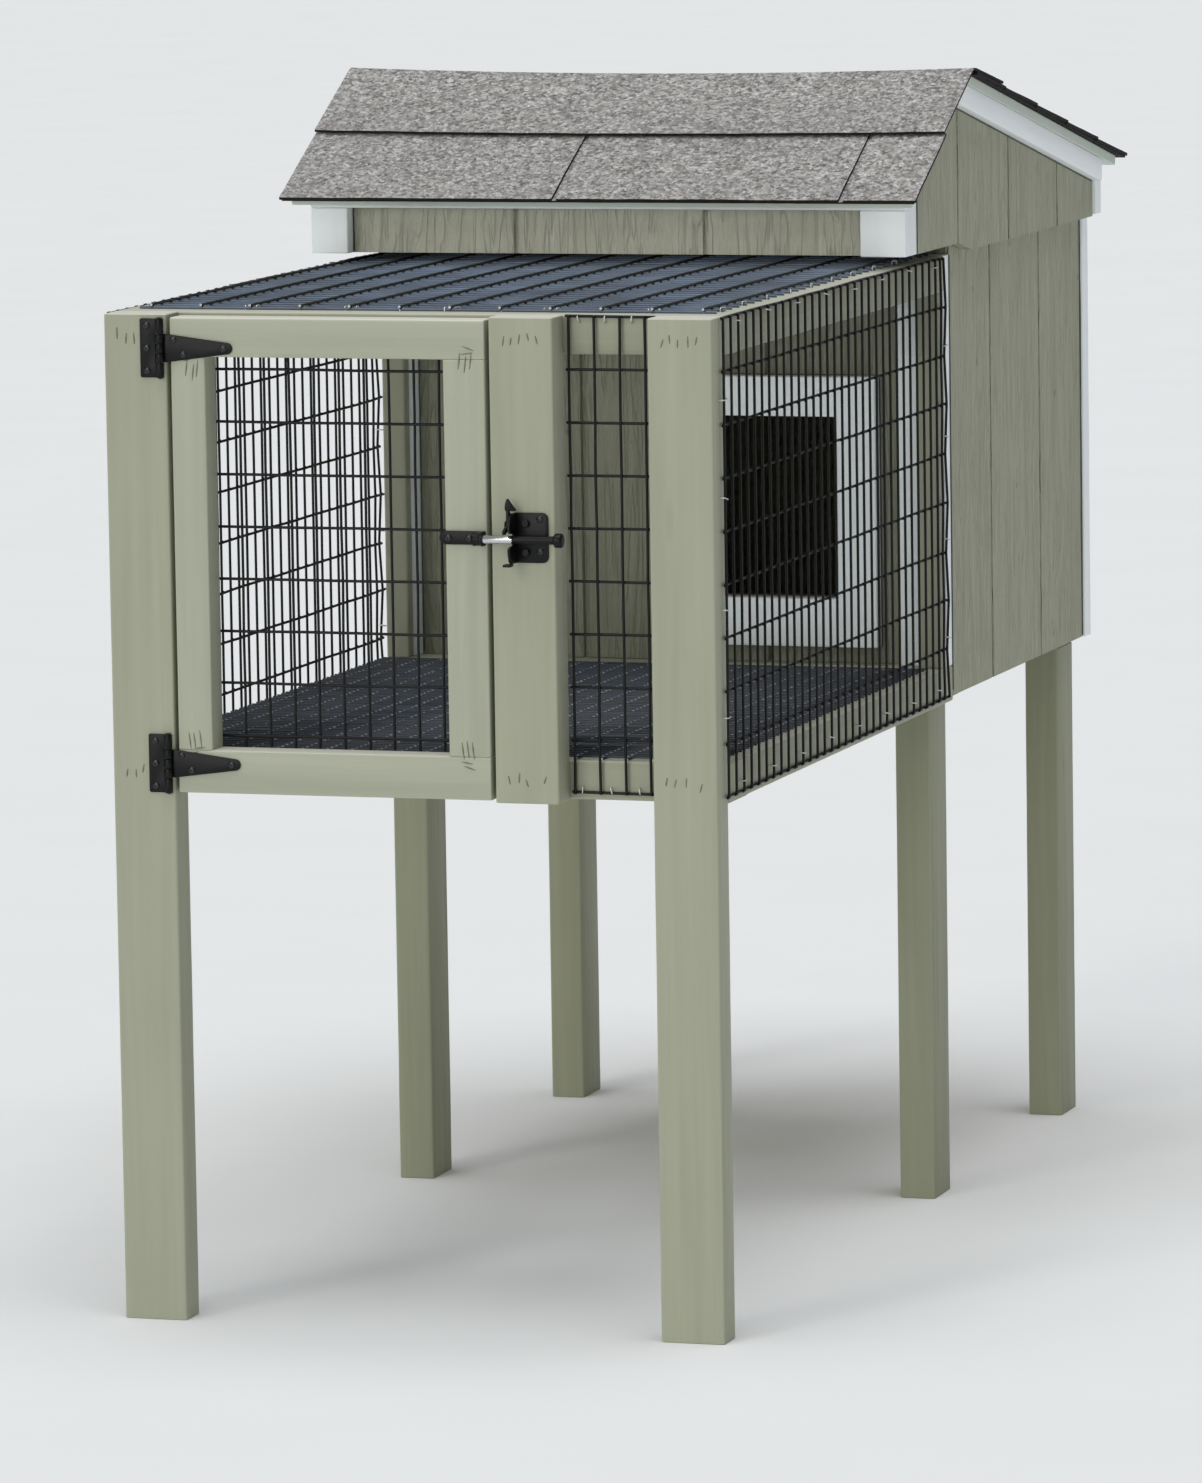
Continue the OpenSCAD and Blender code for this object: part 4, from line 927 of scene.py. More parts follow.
sh = Shell()
for x0 in (PT_LO[0], POP_X1):
    board(sh, (x0, TRIM_Y, PT_LO[2]), (x0 + POP_BOARD, HOUSE_Y0, PT_HI[2]), 2, TR)
board(sh, (POP_X0, TRIM_Y, POP_Z1), (POP_X1, HOUSE_Y0, PT_HI[2]), 0, TR)
board(sh, (POP_X0, TRIM_Y, PT_LO[2]), (POP_X1, HOUSE_Y0, POP_Z0), 0, TR)
sh.make("pop_frame", "hutch", WHITE, "pop_hole_trim", "white_trim")

def caulk(sh, p0, p1, r):
    """A bead of caulk where trim meets siding, a little thicker here and thinner there; its dark colour is
    painted shade of the gap.
    """
    p0, p1 = Vector(p0), Vector(p1)
    n = max(2, int((p1 - p0).length // 30))
    pts = [p0.lerp(p1, k / n) for k in range(n + 1)]
    tube(sh, pts, r, n=6, radii=[r * (1 + 0.35 * mnoise.noise(p * 0.05)) for p in pts])


def caulk_up(sh, x, y, z0, z1, r):
    caulk(sh, (x, y, z0), (x, y, z1), r)


sh = Shell()
for s in (-1, 1):
    caulk_up(sh, s * HALF, HOUSE_Y0 + 0.3, 530, RUN_Z1 - 1, 0.9)
    caulk_up(sh, s * HALF, HOUSE_Y1 - 0.2, 526, RUN_Z1 - 1, 1.4)
    caulk_up(sh, s * (HALF - REAR_BOARD), HOUSE_Y1 + 0.3, 560, RUN_Z1 - REAR_BAND - 2, 1.2)
    caulk_up(sh, s * (HALF - FRONT_BOARD[s] - 0.2), HOUSE_Y0 - 0.3, 560, RUN_Z1 - 1, 1.0)
for x in (PT_LO[0] - 0.2, PT_HI[0] + 0.2):
    caulk_up(sh, x, HOUSE_Y0 - 0.3, PT_LO[2], PT_HI[2], 1.0)
for z in (PT_LO[2] - 0.2, PT_HI[2] + 0.2):
    caulk(sh, (PT_LO[0], HOUSE_Y0 - 0.3, z), (PT_HI[0], HOUSE_Y0 - 0.3, z), 1.0)
sh.make("caulk_house", "hutch", CAULK_SHADED, (), "white_trim", ROUND_ANGLE)

# ---------------------------------------------------------------- lid
# the front skirt takes the paler siding copy: painted light against the shade under the eave
cross_panel("skirt_front", "lid_front_skirt", "lid", SIDING_PAINTED_LIGHT, [-101.5, 101.5], 1)
cross_panel("skirt_rear", "lid_rear_skirt", "lid", SIDING, [-101, 102], -1)
NOTCH = HOUSE_Y0 + 2
for side, s in (("left", -1), ("right", 1)):
    sh = Shell()
    siding(sh, GAB_LO[1], GAB_HI[1], lambda u: SKIRT_LO[2] if u < NOTCH else GAB_LO[2], under_deck,
           [FY + 1050, FY + 1253, FY + 846], lambda u, n, z: (s * (LID_X - n), u, z), SID)
    sh.make("gable_" + side, "lid", SIDING, "lid_%s_gable" % side, "siding_paint", SIDING_ANGLE)

sh = Shell()
FZ = mm_box("lid_fascia")[0][2]
LID_BOARD = {-1: 40, 1: 48}
LID_TOP = under_deck(SKIRT_LO[1])


def slope_top(p):
    """Cuts the top of a side board to the slope of the roof."""
    rise = (under_deck(p[1]) - LID_TOP) * (p[2] - FTRIM_LO[2]) / (LID_TOP - FTRIM_LO[2])
    return p[0], p[1], p[2] + rise


for s in (-1, 1):
    x0, x1 = sorted((s * (LID_X - LID_BOARD[s]), s * LID_X))
    board(sh, (x0, LID_FRONT, FTRIM_LO[2]), (x1, SKIRT_LO[1], FZ), 2, TR)
    x0, x1 = sorted((s * LID_IN, s * LID_X))
    board(sh, (x0, SKIRT_LO[1], FTRIM_LO[2]), (x1, FTRIM_HI[1], LID_TOP), 2, TR, warp=slope_top)
sh.make("lid_corner_boards", "lid", WHITE, "lid_front_trim", "white_trim")

sh = Shell()
lo, hi = mm_box("lid_fascia")
board(sh, lo, hi, 0, TR)
sh.make("fascia", "lid", WHITE, "lid_fascia", "white_trim")

sh = Shell()
BAND_T = 12
for s in (-1, 1):
    x0, x1 = sorted((s * (LID_X - REAR_BOARD), s * LIDR_HI[0]))
    board(sh, (x0, LIDR_LO[1], LIDR_LO[2]), (x1, LIDR_HI[1], LIDR_HI[2]), 2, TR)
band_hi = (LID_X - REAR_BOARD, LIDR_LO[1] + BAND_T, LIDR_HI[2])
board(sh, (REAR_BOARD - LID_X, LIDR_LO[1], LIDR_LO[2] + 2), band_hi, 0, TR)
sh.make("lid_rear_boards", "lid", WHITE, "lid_rear_trim", "white_trim")

sh = Shell()
RAKE_HI = mm_box("lid_rake_boards")[1]
RAKE_DROP = 24.0 / math.cos(PITCH_R)


def rake_warp(p):
    """p[2] runs from 0 at the deck to -RAKE_DROP; the front end is cut to the front slope."""
    lead = -p[2] / TAN_SUM
    k = (RAKE_HI[1] - p[1]) / (RAKE_HI[1] - UNDER_Y)
    y = p[1] - lead * k
    return p[0], y, under_deck(RAKE_HI[1]) + (RAKE_HI[1] - y) * math.tan(PITCH_R) + p[2]


for s in (-1, 1):
    x0, x1 = sorted((s * LID_X, s * RAKE_HI[0]))
    board(sh, (x0, UNDER_Y, -RAKE_DROP), (x1, RAKE_HI[1], 0), 1, TR, warp=rake_warp, ends=0.2)
sh.make("rake_boards", "lid", WHITE, "lid_rake_boards", "white_trim")

sh = Shell()
lo, hi = mm_box("lid_frame")
CROSS_T = 19
for x0, x1 in ((lo[0], lo[0] + LUM), (hi[0] - LUM, hi[0])):
    for y0 in (lo[1], hi[1] - LUM):
        board(sh, (x0, y0, lo[2]), (x1, y0 + LUM, hi[2]), 1)
for y0 in (lo[1], hi[1] - CROSS_T):
    board(sh, (lo[0] + LUM, y0, lo[2]), (hi[0] - LUM, y0 + CROSS_T, hi[2]), 0)
sh.make("lid_blocks", "lid", PINE, "lid_frame", "bare_wood")

def rake_seam(s, y):
    """A point where the rake board's lower edge meets the gable."""
    low = under_deck(RAKE_HI[1]) - RAKE_DROP - 0.2
    return s * LID_X, y, low + (RAKE_HI[1] - y) * math.tan(PITCH_R)


sh = Shell()
SEAM_Y = SKIRT_LO[1] - 0.3
for s in (-1, 1):
    caulk_up(sh, s * (LID_X - LID_BOARD[s] - 0.2), SEAM_Y, SKIRT_LO[2] + 1, FZ - 1, 1.0)
    caulk_up(sh, s * LID_X, FTRIM_HI[1] + 0.3, SKIRT_LO[2] + 1, under_deck(FTRIM_HI[1]) - 1, 0.8)
    caulk(sh, rake_seam(s, UNDER_Y - 30), rake_seam(s, RAKE_HI[1] - 4), 1.1)
caulk(sh, (LID_BOARD[-1] - LID_X, SEAM_Y, FZ - 0.3), (LID_X - LID_BOARD[1], SEAM_Y, FZ - 0.3), 0.9)
sh.make("caulk_lid", "lid", CAULK_SHADED, (), "white_trim", ROUND_ANGLE)

# ---------------------------------------------------------------- roof
DECK_X = mm_box("roof_front_deck")[1][0]
ROOF_X = mm_box("roof_front_shingles")[1][0]


def sag(x, y):
    """The roof has settled a little in the middle of its ridge."""
    a = max(0.0, 1 - (x / ROOF_X) ** 2)
    b = max(0.0, 1 - abs(y - (FY + RIDGE_D)) / 230)
    return -6.0 * a * b


MITER = math.tan((PITCH_F + PITCH_R) / 2) * DECK_T


def deck_warp(pt):
    """Lays a flat board along a slope, mitred under the ridge and settled with the roof."""
    def warp(p):
        y, z = pt(p[1] + max(0, 1 - p[1] / 60) * MITER * (-p[2] / DECK_T), p[2])
        return p[0], y, z + sag(p[0], y)
    return warp


for name, pt, length in (("front", front_pt, RUN_F - 12), ("rear", rear_pt, RUN_R - 22)):
    sh = Shell()
    board(sh, (-DECK_X, 0, -DECK_T), (DECK_X, length, 0), 0, 1.0, warp=deck_warp(pt))
    sh.make("deck_" + name, "lid", DECK_PAINT_GREEN_BOUNCE, "roof_%s_deck" % name, "roof_board")

EXP_F, EXP_R = RUN_F / 2, RUN_R / 5
BUTT, THIN = 5.6, 3.4


def course(sh, pt, s0, s1, x0, x1, t0, t1, thick, seed, rag=0.9, base=None):
    """One shingle sheet from s0 (upper) to s1 (butt): granules above, black asphalt on its cut edges."""
    nx = max(3, int((x1 - x0) // 11))
    ns = max(3, int((s1 - s0) // 22))
    top, low = [], []
    verts, faces, mats = [], [], []

    def add(x, s, t):
        y, z = pt(s, t)
        verts.append((x, y, z + sag(x, y)))
        return len(verts) - 1

    for i in range(nx + 1):
        x = x0 + (x1 - x0) * i / nx
        w = rag * mnoise.noise(Vector((x * 0.03, seed, 0)))
        w += 0.5 * rag * mnoise.noise(Vector((x * 0.17, seed, 3)))
        row_t, row_l = [], []
        for j in range(ns + 1):
            q = j / ns
            s = s0 + (s1 + w - 0.9 - s0) * q
            t = t0 + (t1 - t0) * q + 0.22 * mnoise.noise(Vector((x * 0.05, s * 0.05, seed)))
            xx = x
            if i in (0, nx):
                xx = x + (0.5 * mnoise.noise(Vector((s * 0.08, seed, x)))) - math.copysign(0.6, i - 1)
            row_t.append(add(xx, s, min(t, t0 + (t1 - t0) * q + 0.15)))
            row_l.append(add(xx, s, base if base is not None else t - thick))
        top.append(row_t)
        low.append(row_l)
    for i in range(nx):
        for j in range(ns):
            faces.append([top[i][j], top[i + 1][j], top[i + 1][j + 1], top[i][j + 1]])
            mats.append(0)
            faces.append([low[i][j], low[i][j + 1], low[i + 1][j + 1], low[i + 1][j]])
            mats.append(1)
        for j in (0, ns):
            faces.append([top[i][j], low[i][j], low[i + 1][j], top[i + 1][j]])
            mats.append(1)
    for i in (0, nx):
        for j in range(ns):
            faces.append([top[i][j], top[i][j + 1], low[i][j + 1], low[i][j]])
            mats.append(1)
    sh.put(verts, faces, mats=mats)


def slots(sh, pt, s0, s1, cuts, t0, t1, seed):
    """A course of tabs parted by narrow slots, over a backing sheet that shows dark in them."""
    under_x = ROOF_X - 2
    course(sh, pt, s0, s1 - 1.5, -under_x, under_x, max(t0 - 3.2, 0.6), t1 - 3.4, 2.5, seed + 0.5,
           rag=0.2, base=0.05)
    marks = [-ROOF_X] + cuts + [ROOF_X]
    for a, b in zip(marks[:-1], marks[1:]):
        x0, x1 = a + (2.2 if a > -ROOF_X else 0), b - (2.2 if b < ROOF_X else 0)
        course(sh, pt, s0, s1, x0, x1, t0, t1, 3.0, seed + a * 0.01)


sh = Shell()
slots(sh, front_pt, EXP_F - 6, RUN_F, [-43, 261], THIN - 0.2, BUTT - 0.3, 1)
sh.make("shingles_front", "lid", [SHINGLE, ASPHALT], "roof_front_shingles", "shingle", 40)
sh = Shell()
for k in range(1, 5):
    cuts = [x for x in [-340 + 152 * (k % 2) + 305 * j - 60 for j in range(1, 4)] if -300 < x < 300]
    slots(sh, rear_pt, k * EXP_R - 6, (k + 1) * EXP_R, cuts, THIN - 0.2, BUTT - 0.3, 3 + k)
slots(sh, rear_pt, 12, EXP_R, [-150, 155], THIN - 0.2, BUTT - 1.0, 13)
sh.make("shingles_rear", "lid", [SHINGLE, ASPHALT], "roof_rear_shingles", "shingle", 40)

# the upper course runs over the ridge in one bent sheet
sh = Shell()
CAP = 118.0
nx, verts, faces, mats = 64, [], [], []
front_end, rear_end = EXP_F + 0.5, CAP - 0.8
stations = [-front_end * (1 - k / 9) for k in range(9)] + [-7, 0, 7] + [rear_end * k / 8 for k in range(1, 9)]


def cap_pt(q, t):
    """q runs from the front edge (negative) over the ridge to the rear edge; the bend is rounded."""
    if q < 0:
        y, z = front_pt(-q, t)
    elif q > 0:
        y, z = rear_pt(q, t)
    else:
        a, b = front_pt(0, t), rear_pt(0, t)
        y, z = (a[0] + b[0]) / 2, (a[1] + b[1]) / 2 + 0.2
    return y, z


rows = []
for i in range(nx + 1):
    x = -ROOF_X + 2 * ROOF_X * i / nx
    wf = 1.0 * mnoise.noise(Vector((x * 0.03, 77, 0))) - 0.7
    wr = 1.2 * mnoise.noise(Vector((x * 0.03, 91, 0))) - 1.0
    row = []
    for q in stations:
        if q == stations[0]:
            q2 = q - wf
        elif q == stations[-1]:
            q2 = q + wr
        else:
            q2 = q
        slope = (BUTT - THIN) / (EXP_F if q < 0 else EXP_R)
        t = THIN + abs(q) * slope
        n = 0.25 * mnoise.noise(Vector((x * 0.05, q * 0.05, 5)))
        xx = x - math.copysign(0.5, x) if i in (0, nx) else x
        y1, z1 = cap_pt(q2, t + 2.75 + min(n, 0.2))
        y0, z0 = cap_pt(q2, t + 0.1)
        if abs(q) < 0.01:
            z1 = front_pt(0, THIN + 3)[1] - 0.25
        for y, z in ((y1, z1), (y0, z0)):
            verts.append((xx, y, z + sag(x, y)))
        row.append((len(verts) - 2, len(verts) - 1))
    rows.append(row)
for i in range(nx):
    for j in range(len(stations) - 1):
        a, b, c, d = rows[i][j], rows[i + 1][j], rows[i + 1][j + 1], rows[i][j + 1]
        faces.append([a[0], b[0], c[0], d[0]])
        mats.append(0)
        faces.append([a[1], d[1], c[1], b[1]])
        mats.append(1)
    for j in (0, len(stations) - 1):
        faces.append([rows[i][j][0], rows[i][j][1], rows[i + 1][j][1], rows[i + 1][j][0]])
        mats.append(1)
for i in (0, nx):
    for j in range(len(stations) - 1):
        faces.append([rows[i][j][0], rows[i][j + 1][0], rows[i][j + 1][1], rows[i][j][1]])
        mats.append(1)
sh.put(verts, faces, mats=mats)
sh.make("shingles_cap", "lid", [SHINGLE, ASPHALT], "roof_ridge_cap", "shingle", 50)

# ---------------------------------------------------------------- door hinges
JOINT = {j["name"]: [c / MM for c in j["pos_m"]] for j in frame["joints"]}
HX, AXIS_D = JOINT["door_hinge"][:2]
KR, LEAF, PLATE_H, STRAP_H, STRAP_L = 4.0, 2.0, 57.0, 28.0, 73.0
HINGE_Z = (548.5, 951.5)


def knuckle(sh, z0, z1, r=KR):
    h = z1 - z0
    profile = [(0, r - 0.7), (0.25, r - 0.15), (0.6, r), (h - 0.6, r), (h - 0.25, r - 0.15), (h, r - 0.7)]
    lathe(sh, profile, (HX, AXIS_D, z0), (0, 0, 1), 28)


TIP = 5.6
half_s, half_p = STRAP_H / 2, PLATE_H / 2
strap_out = [(1.0, 0.4 - half_s), (6.0, 0.4 - half_s)] + arc(STRAP_L - TIP, 0, TIP, -80, 80, 8) + \
    [(6.0, half_s - 0.4), (1.0, half_s - 0.4)]
PLATE_X, PLATE_SCREW_X = -268.0, -261.0
back = PLATE_X - HX
plate_out = [(back + 1.2, -half_p), (-0.5, -half_p), (-0.5, -half_s - 0.6), (-5.6, -half_s - 0.6),
             (-5.6, half_s + 0.6), (-0.5, half_s + 0.6), (-0.5, half_p), (back + 1.2, half_p),
             (back, half_p - 1.2), (back, 1.2 - half_p)]
sh, plates, pins, door_screws, frame_screws = Shell(), Shell(), Shell(), Shell(), Shell()
for z in HINGE_Z:
    plate(sh, strap_out, LEAF, lambda x, y, d, z=z: (HX + x, FY - LEAF + d, z + y))
    for k in range(3):
        h = STRAP_H / 3
        z0, z1 = z - half_s + k * h + 0.15, z - half_s + (k + 1) * h - 0.15
        knuckle(sh, z0, z1, KR if k != 1 else KR - 0.25)
    plate(plates, plate_out, LEAF, lambda x, y, d, z=z: (HX + x, FY - LEAF + d, z + y))
    knuckle(plates, z + half_s + 0.4, z + half_p)
    knuckle(plates, z - half_p, z - half_s - 0.4)
    pin_head = [(0, 2.2), (0.4, 2.9), (1.1, 2.9), (1.5, 2.1), (1.6, 0.4)]
    lathe(pins, pin_head, (HX, AXIS_D, z + half_p), (0, 0, 1), 20)
    lathe(pins, [(0, 1.9), (PLATE_H + 1, 1.9)], (HX, AXIS_D, z - half_p - 1), (0, 0, 1), 16)
    for x, dz in ((13, 8), (23, -6), (STRAP_L - 9, 0)):
        screw(door_screws, HX + x, FY - LEAF, z + dz, turn=rng.uniform(0, 1.5))
    for dz in (22, 0, -22):
        screw(frame_screws, PLATE_SCREW_X, FY - LEAF, z + dz, turn=rng.uniform(0, 1.5))
sh.make("hinge_straps", "door", BLACK, "door_hinge_straps", "black_hardware")
plates.make("hinge_plates", "hutch", BLACK, "door_hinge_plates", "black_hardware")
pins.make("hinge_pins", "hutch", SCREW, "door_hinge_pins", "black_hardware")

# ---------------------------------------------------------------- latch
SP_LO, SP_HI = mm_box("strike_plate")
BAR_Z = (SP_LO[2] + SP_HI[2]) / 2
BAR_Y = FY - 13.0
h = (SP_HI[2] - SP_LO[2]) / 2
sh = Shell()
out = arc(SP_LO[0] + h, BAR_Z, h, 90, 270, 10) + [(SP_HI[0], BAR_Z - h), (SP_HI[0], BAR_Z + h)]
plate(sh, out, 3.0, lambda x, z, d: (x, FY - 3 + d, z))
bx = SP_HI[0] - 8
boss = [(FY - 2.5, BAR_Z + h), (BAR_Y, BAR_Z + 6.2)] + arc(BAR_Y, BAR_Z, 6.0, 100, 260, 8) + \
    [(BAR_Y, BAR_Z - 6.2), (FY - 2.5, BAR_Z - h)]
boss.reverse()
plate(sh, boss, 8.0, lambda y, z, d: (bx + d, y, z), 0.6)
sh.make("latch_strike", "door", BLACK, "strike_plate", "black_hardware")
for x in (SP_LO[0] + 9, SP_LO[0] + 30):
    screw(door_screws, x, FY - 3, BAR_Z, turn=rng.uniform(0, 1.5))
sh = Shell()
lathe(sh, [(0, 3.9), (0.2, 4.0), (32, 4.0)], (SP_HI[0] - 1, BAR_Y, BAR_Z), (1, 0, 0), 28, mat=0)
lathe(sh, [(0, 3.98), (0.3, 4.0), (41.2, 4.0)], (SP_HI[0] + 31, BAR_Y, BAR_Z), (1, 0, 0), 28, mat=1)
knob = [(0, 4.2), (0.4, 5.6), (1.4, 6.9), (2.6, 7.0), (6.6, 7.0), (8.0, 6.4), (8.8, 5.0), (9.0, 3.0)]
lathe(sh, knob, (151.5, BAR_Y, BAR_Z), (1, 0, 0), 32, mat=1)
sh.make("latch_bar", "door", [STEEL, BLACK], "strike_bar", "bar_steel", 40)

LX = 108.0
z0, z1 = BAR_Z - 23, BAR_Z + 25
sh = Shell()
out = [(LX, z0), (LX + 27, z0)] + arc(LX + 28, z0 + 6, 6, -90, 0, 5)[1:] + \
    arc(LX + 28, z1 - 6, 6, 0, 90, 5) + [(LX, z1)]
plate(sh, out, 2.5, lambda x, z, d: (x, FY - 2.5 + d, z))
# the flange, with a flared mouth that opens to the front
MOUTH_R = 6.1
mouth = [(BAR_Y + MOUTH_R * math.cos(math.radians(a)), BAR_Z + MOUTH_R * math.sin(math.radians(a)))
         for a in range(90, -91, -30)]
flange = [(FY - 0.3, z0), (FY - 0.3, z1), (FY - 16, z1), (FY - 21, z1 - 2.5), (FY - 23.8, BAR_Z + 12),
      (FY - 24, BAR_Z + 8.2), (FY - 20, BAR_Z + 6.2)] + mouth + \
     [(FY - 20, BAR_Z - 6.2), (FY - 24, BAR_Z - 8.2), (FY - 23.8, BAR_Z - 13), (FY - 21, z0 + 2.5),
      (FY - 16, z0)]
flange = anticlockwise(flange)
plate(sh, flange, 2.5, lambda y, z, d: (LX + d, y, z), 0.35)
# the hooked lip under the mouth
lip = [(LX - 5, z0 - 2.4), (LX + 2.3, z0 - 2.4), (LX + 2.3, z0 + 0.5), (LX - 5, z0)]
plate(sh, lip, 12.0, lambda x, z, d: (x, FY - 24 + d, z), 0.5)
# stop bosses behind the mouth
for dz in (15, -13):
    lathe(sh, [(0, 3.3), (0.5, 3.6), (3.2, 3.6), (3.7, 3.2)], (LX + 12, FY - 2.3, BAR_Z + dz), FORWARDS, 20)
PY, PZ = FY - 9.0, BAR_Z + 14
lathe(sh, [(0, 2.45), (7.2, 2.45)], (LX - 5.2, PY, PZ), (1, 0, 0), 20)
lathe(sh, [(0, 1.6), (0.4, 3.2), (1.2, 3.9), (1.9, 3.9)], (LX - 7, PY, PZ), (1, 0, 0), 24)
sh.make("latch_frame", "hutch", BLACK, "latch_body", "black_hardware")
for x, z in ((LX + 26, BAR_Z + 19), (LX + 26, BAR_Z - 12)):
    screw(frame_screws, x, FY - 2.5, z, turn=rng.uniform(0, 1.5))

# the pawl: a nose pointing forwards and a curved finger pointing up
sh = Shell()
NOSE_ANGLE = math.radians(20)
NOSE_L, NOSE_R = 17.5, 2.3


def nose(u, v):
    """A point u along the nose and v above its middle line."""
    c, s = math.cos(NOSE_ANGLE), math.sin(NOSE_ANGLE)
    return (-u * c + v * s, -u * s - v * c)


tip = [nose(NOSE_L + NOSE_R * math.sin(math.radians(a)), NOSE_R * math.cos(math.radians(a)))
       for a in (35, 70, 110, 145)]
hub = [nose(5.0, 2.4), nose(NOSE_L, NOSE_R)] + tip + [nose(NOSE_L, -NOSE_R), nose(6.5, -2.4)] + \
    [(-5.9, 1.5), (-6.0, 6.0), (-5.6, 12), (-5.3, 18), (-4.9, 23.5), (-4.2, 24.7), (-3.2, 24.2), (-1.6, 18),
     (1.2, 11), (4.4, 6.0), (5.8, 1.5), (5.4, -2.6), (3.0, -5.2), (0, -6.0), (-3.0, -5.2)]
plate(sh, anticlockwise(hub), 2.6, lambda y, z, d: (LX - 3.9 + d, PY + y, PZ + z), 0.35)
leaf = [(104.2, 800.4), (112.6, 800.4), (113.4, 801.6), (110.8, 805.0), (107.8, 809.4), (105.9, 812.4),
        (105.0, 812.0), (103.6, 808.4), (103.0, 804.4), (103.2, 801.4)]
plate(sh, leaf, 3.4, lambda x, z, d: (x, PY - 6.2 + d + (x - 104) * 0.25, z), 0.5)
sh.make("latch_finger", "latch_pawl", BLACK, "latch_pawl", "black_hardware")
door_screws.make("screws_door", "door", SCREW, "door_screws", "black_hardware", 40)
frame_screws.make("screws_frame", "hutch", SCREW, "frame_screws", "black_hardware", 40)

# ---------------------------------------------------------------- lid hinges on the back
LR, LW, LHX = 4.5, 64.0, 180.0
LY, LZ = JOINT["lid_hinge"][1:]
BACK = mm_box("lid_hinge_leaves")[0][1]
KNUCKLES, SCREW_DZ = 5, 19.75


def on_back(x, z, d):
    """A point on the hinge leaves, d deep from their outer face."""
    return x, BACK + LEAF - d, z


lid_leaves, house_leaves, lid_pins, lid_screws, house_screws = (Shell() for _ in range(5))
for s in (-1, 1):
    cx = s * LHX
    x_lo, x_hi, r = cx - LW / 2, cx + LW / 2, 3.0
    for leaves, first, za, zb in ((lid_leaves, 1, LZ + 5.5, LZ + 34), (house_leaves, 0, LZ - 34, LZ - 5.5)):
        if leaves is lid_leaves:
            out = [(x_lo, za), (x_hi, za)] + arc(x_hi - r, zb - r, r, 0, 90, 4) + \
                arc(x_lo + r, zb - r, r, 90, 180, 4)
        else:
            out = arc(x_lo + r, za + r, r, 180, 270, 4) + arc(x_hi - r, za + r, r, 270, 360, 4) + \
                [(x_hi, zb), (x_lo, zb)]
        plate(leaves, out, LEAF, on_back, 0.4)
        for k in range(first, KNUCKLES, 2):
            x0 = x_lo + k * LW / KNUCKLES + 0.3
            w = LW / KNUCKLES - 0.6
            profile = [(0, LR - 0.6), (0.5, LR - 0.05), (w - 0.5, LR - 0.05), (w, LR - 0.6)]
            lathe(leaves, profile, (x0, LY, LZ), (1, 0, 0), 24)
            low, high = (LZ, za + 1) if leaves is lid_leaves else (zb - 1, LZ)
            plate(leaves, [(x0, low), (x0 + w, low), (x0 + w, high), (x0, high)], LEAF, on_back, 0.1)
    lathe(lid_pins, [(0, 1.2), (0.5, 1.9), (LW + 1.5, 1.9), (LW + 2, 1.2)], (x_lo - 1, LY, LZ), (1, 0, 0), 18)
    for dx in (-20, 0, 20):
        for screws, dz in ((lid_screws, SCREW_DZ), (house_screws, -SCREW_DZ)):
            screw(screws, cx + dx, BACK + LEAF, LZ + dz, facing=1, turn=rng.uniform(0, 1.5))
lid_leaves.make("lid_leaves", "lid", BLACK, "lid_hinge_leaves", "black_hardware")
house_leaves.make("house_leaves", "hutch", BLACK, "house_hinge_leaves", "black_hardware")
lid_pins.make("lid_pins", "hutch", SCREW, "lid_hinge_pins", "black_hardware")
lid_screws.make("screws_lid", "lid", SCREW, "lid_hinge_screws", "black_hardware", 40)
house_screws.make("screws_house", "hutch", SCREW, "house_hinge_screws", "black_hardware", 40)

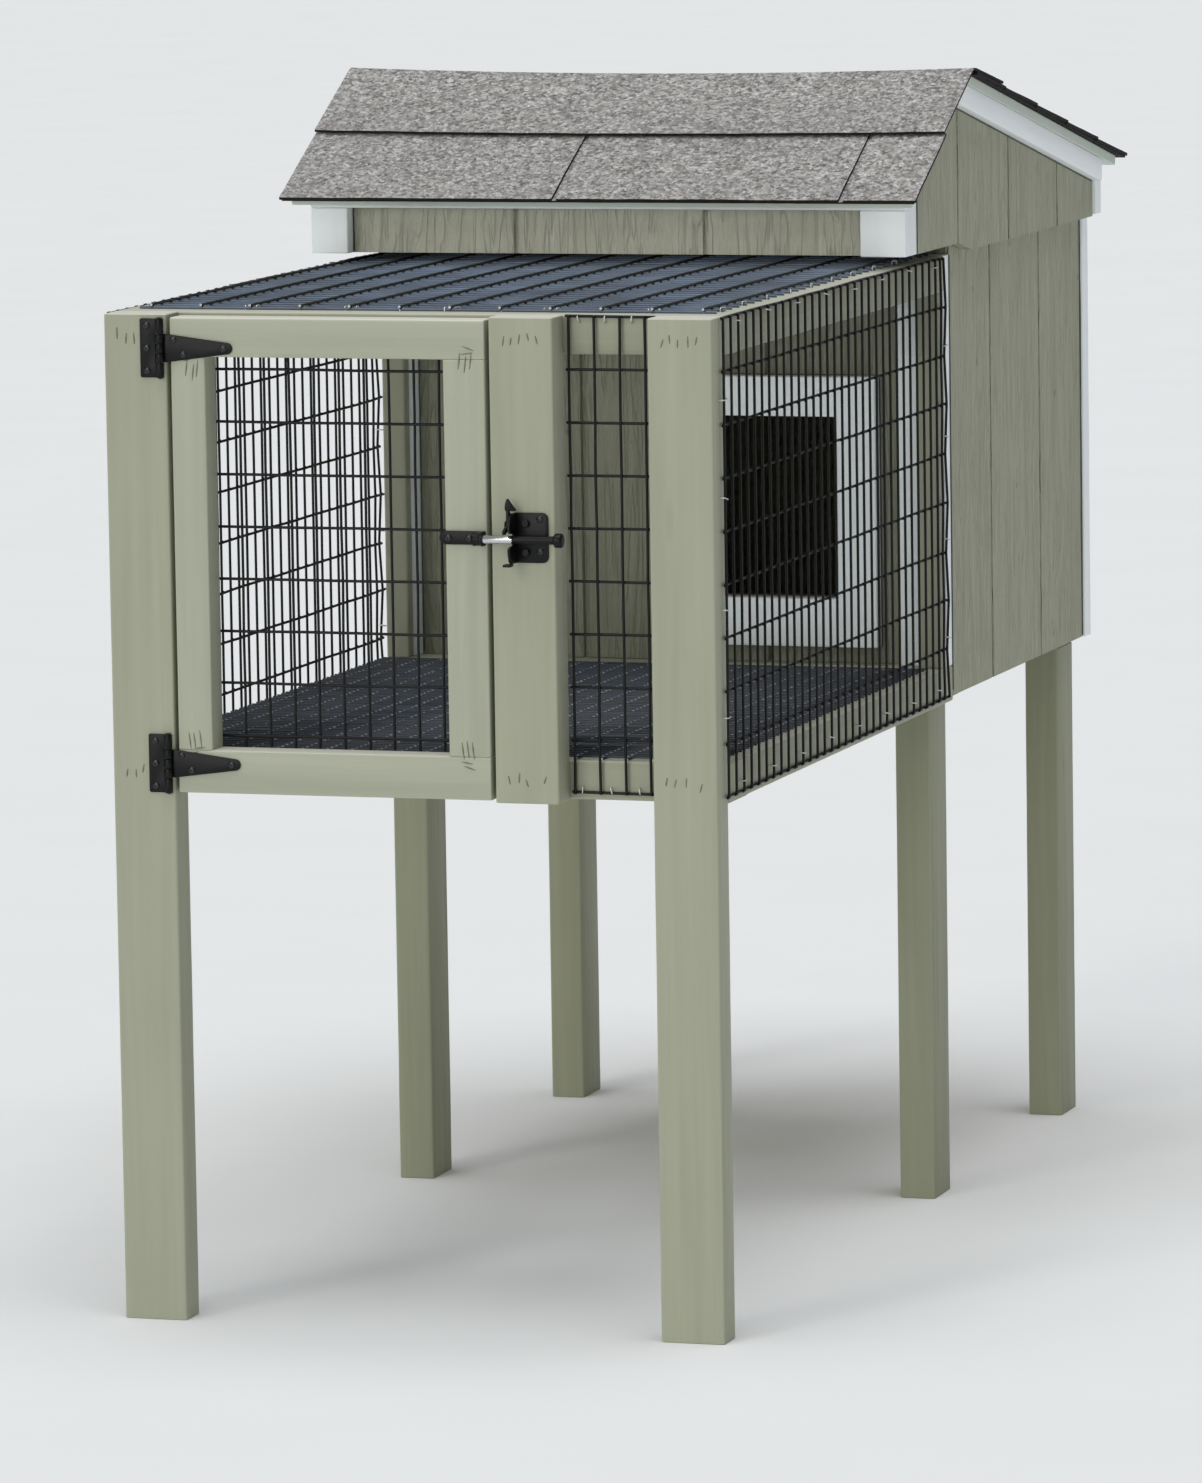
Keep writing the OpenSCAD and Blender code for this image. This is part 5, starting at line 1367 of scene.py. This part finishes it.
# ---------------------------------------------------------------- camera, floor and light
C = Vector((2.6945055, -8.6338402, 1.6310094))
yaw, pitch, roll = (math.radians(v) for v in (17.572, 7.2237, -0.8788))
F = Vector((-math.sin(yaw) * math.cos(pitch), math.cos(yaw) * math.cos(pitch), -math.sin(pitch)))
R = Vector((math.cos(yaw), math.sin(yaw), 0))
U = R.cross(F)
R2, U2 = math.cos(roll) * R + math.sin(roll) * U, -math.sin(roll) * R + math.cos(roll) * U
cam = bpy.data.cameras.new("camera")
cam.lens = 212.96156
cam.sensor_width = 36.0
cam.sensor_fit = "AUTO"
cam.clip_end = 200
cam.dof.use_dof = False
cam_ob = add_object("camera", cam)
cam_ob.matrix_world = Matrix(((R2.x, U2.x, -F.x, C.x), (R2.y, U2.y, -F.y, C.y),
                              (R2.z, U2.z, -F.z, C.z), (0, 0, 0, 1)))
bpy.context.scene.camera = cam_ob

m = Mat("pale_floor")
m.set(Base_Color=m.ramp(m.noise(m.coords(), 3.0), [(0.3, lin(240, 241, 241)), (0.7, lin(242, 243, 243))]),
      Roughness=0.9)
me = bpy.data.meshes.new("floor")
me.from_pydata([(-90, -90, 0), (90, -90, 0), (90, 90, 0), (-90, 90, 0)], [], [[0, 1, 2, 3]])
me.materials.append(m.mat)
floor = add_object("floor", me)

world = bpy.data.worlds.new("studio")
bpy.context.scene.world = world
world.use_nodes = True
bg = next(n for n in world.node_tree.nodes if n.type == "BACKGROUND")
bg.inputs["Color"].default_value = (0.93, 0.96, 1.0, 1)
bg.inputs["Strength"].default_value = 0.30


def sun(name, toward, strength, spread, color=(1, 1, 1)):
    """A broad, soft light from one direction; strength is what a white card facing it would give back."""
    la = bpy.data.lights.new(name, "SUN")
    la.energy, la.angle, la.color = strength * math.pi, math.radians(spread), color
    ob = add_object(name, la)
    ob.rotation_euler = Vector(toward).to_track_quat("Z", "Y").to_euler()


sun("key", (-0.34, -0.78, 0.52), 0.09, 12, (1, 0.985, 0.95))
sun("front", (-0.25, -1.0, 0.05), 0.36, 40, (1, 0.99, 0.96))
sun("overhead", (0.05, -0.1, 1.0), 0.55, 50, (0.98, 0.99, 1))
bpy.context.scene.view_settings.view_transform = "Standard"
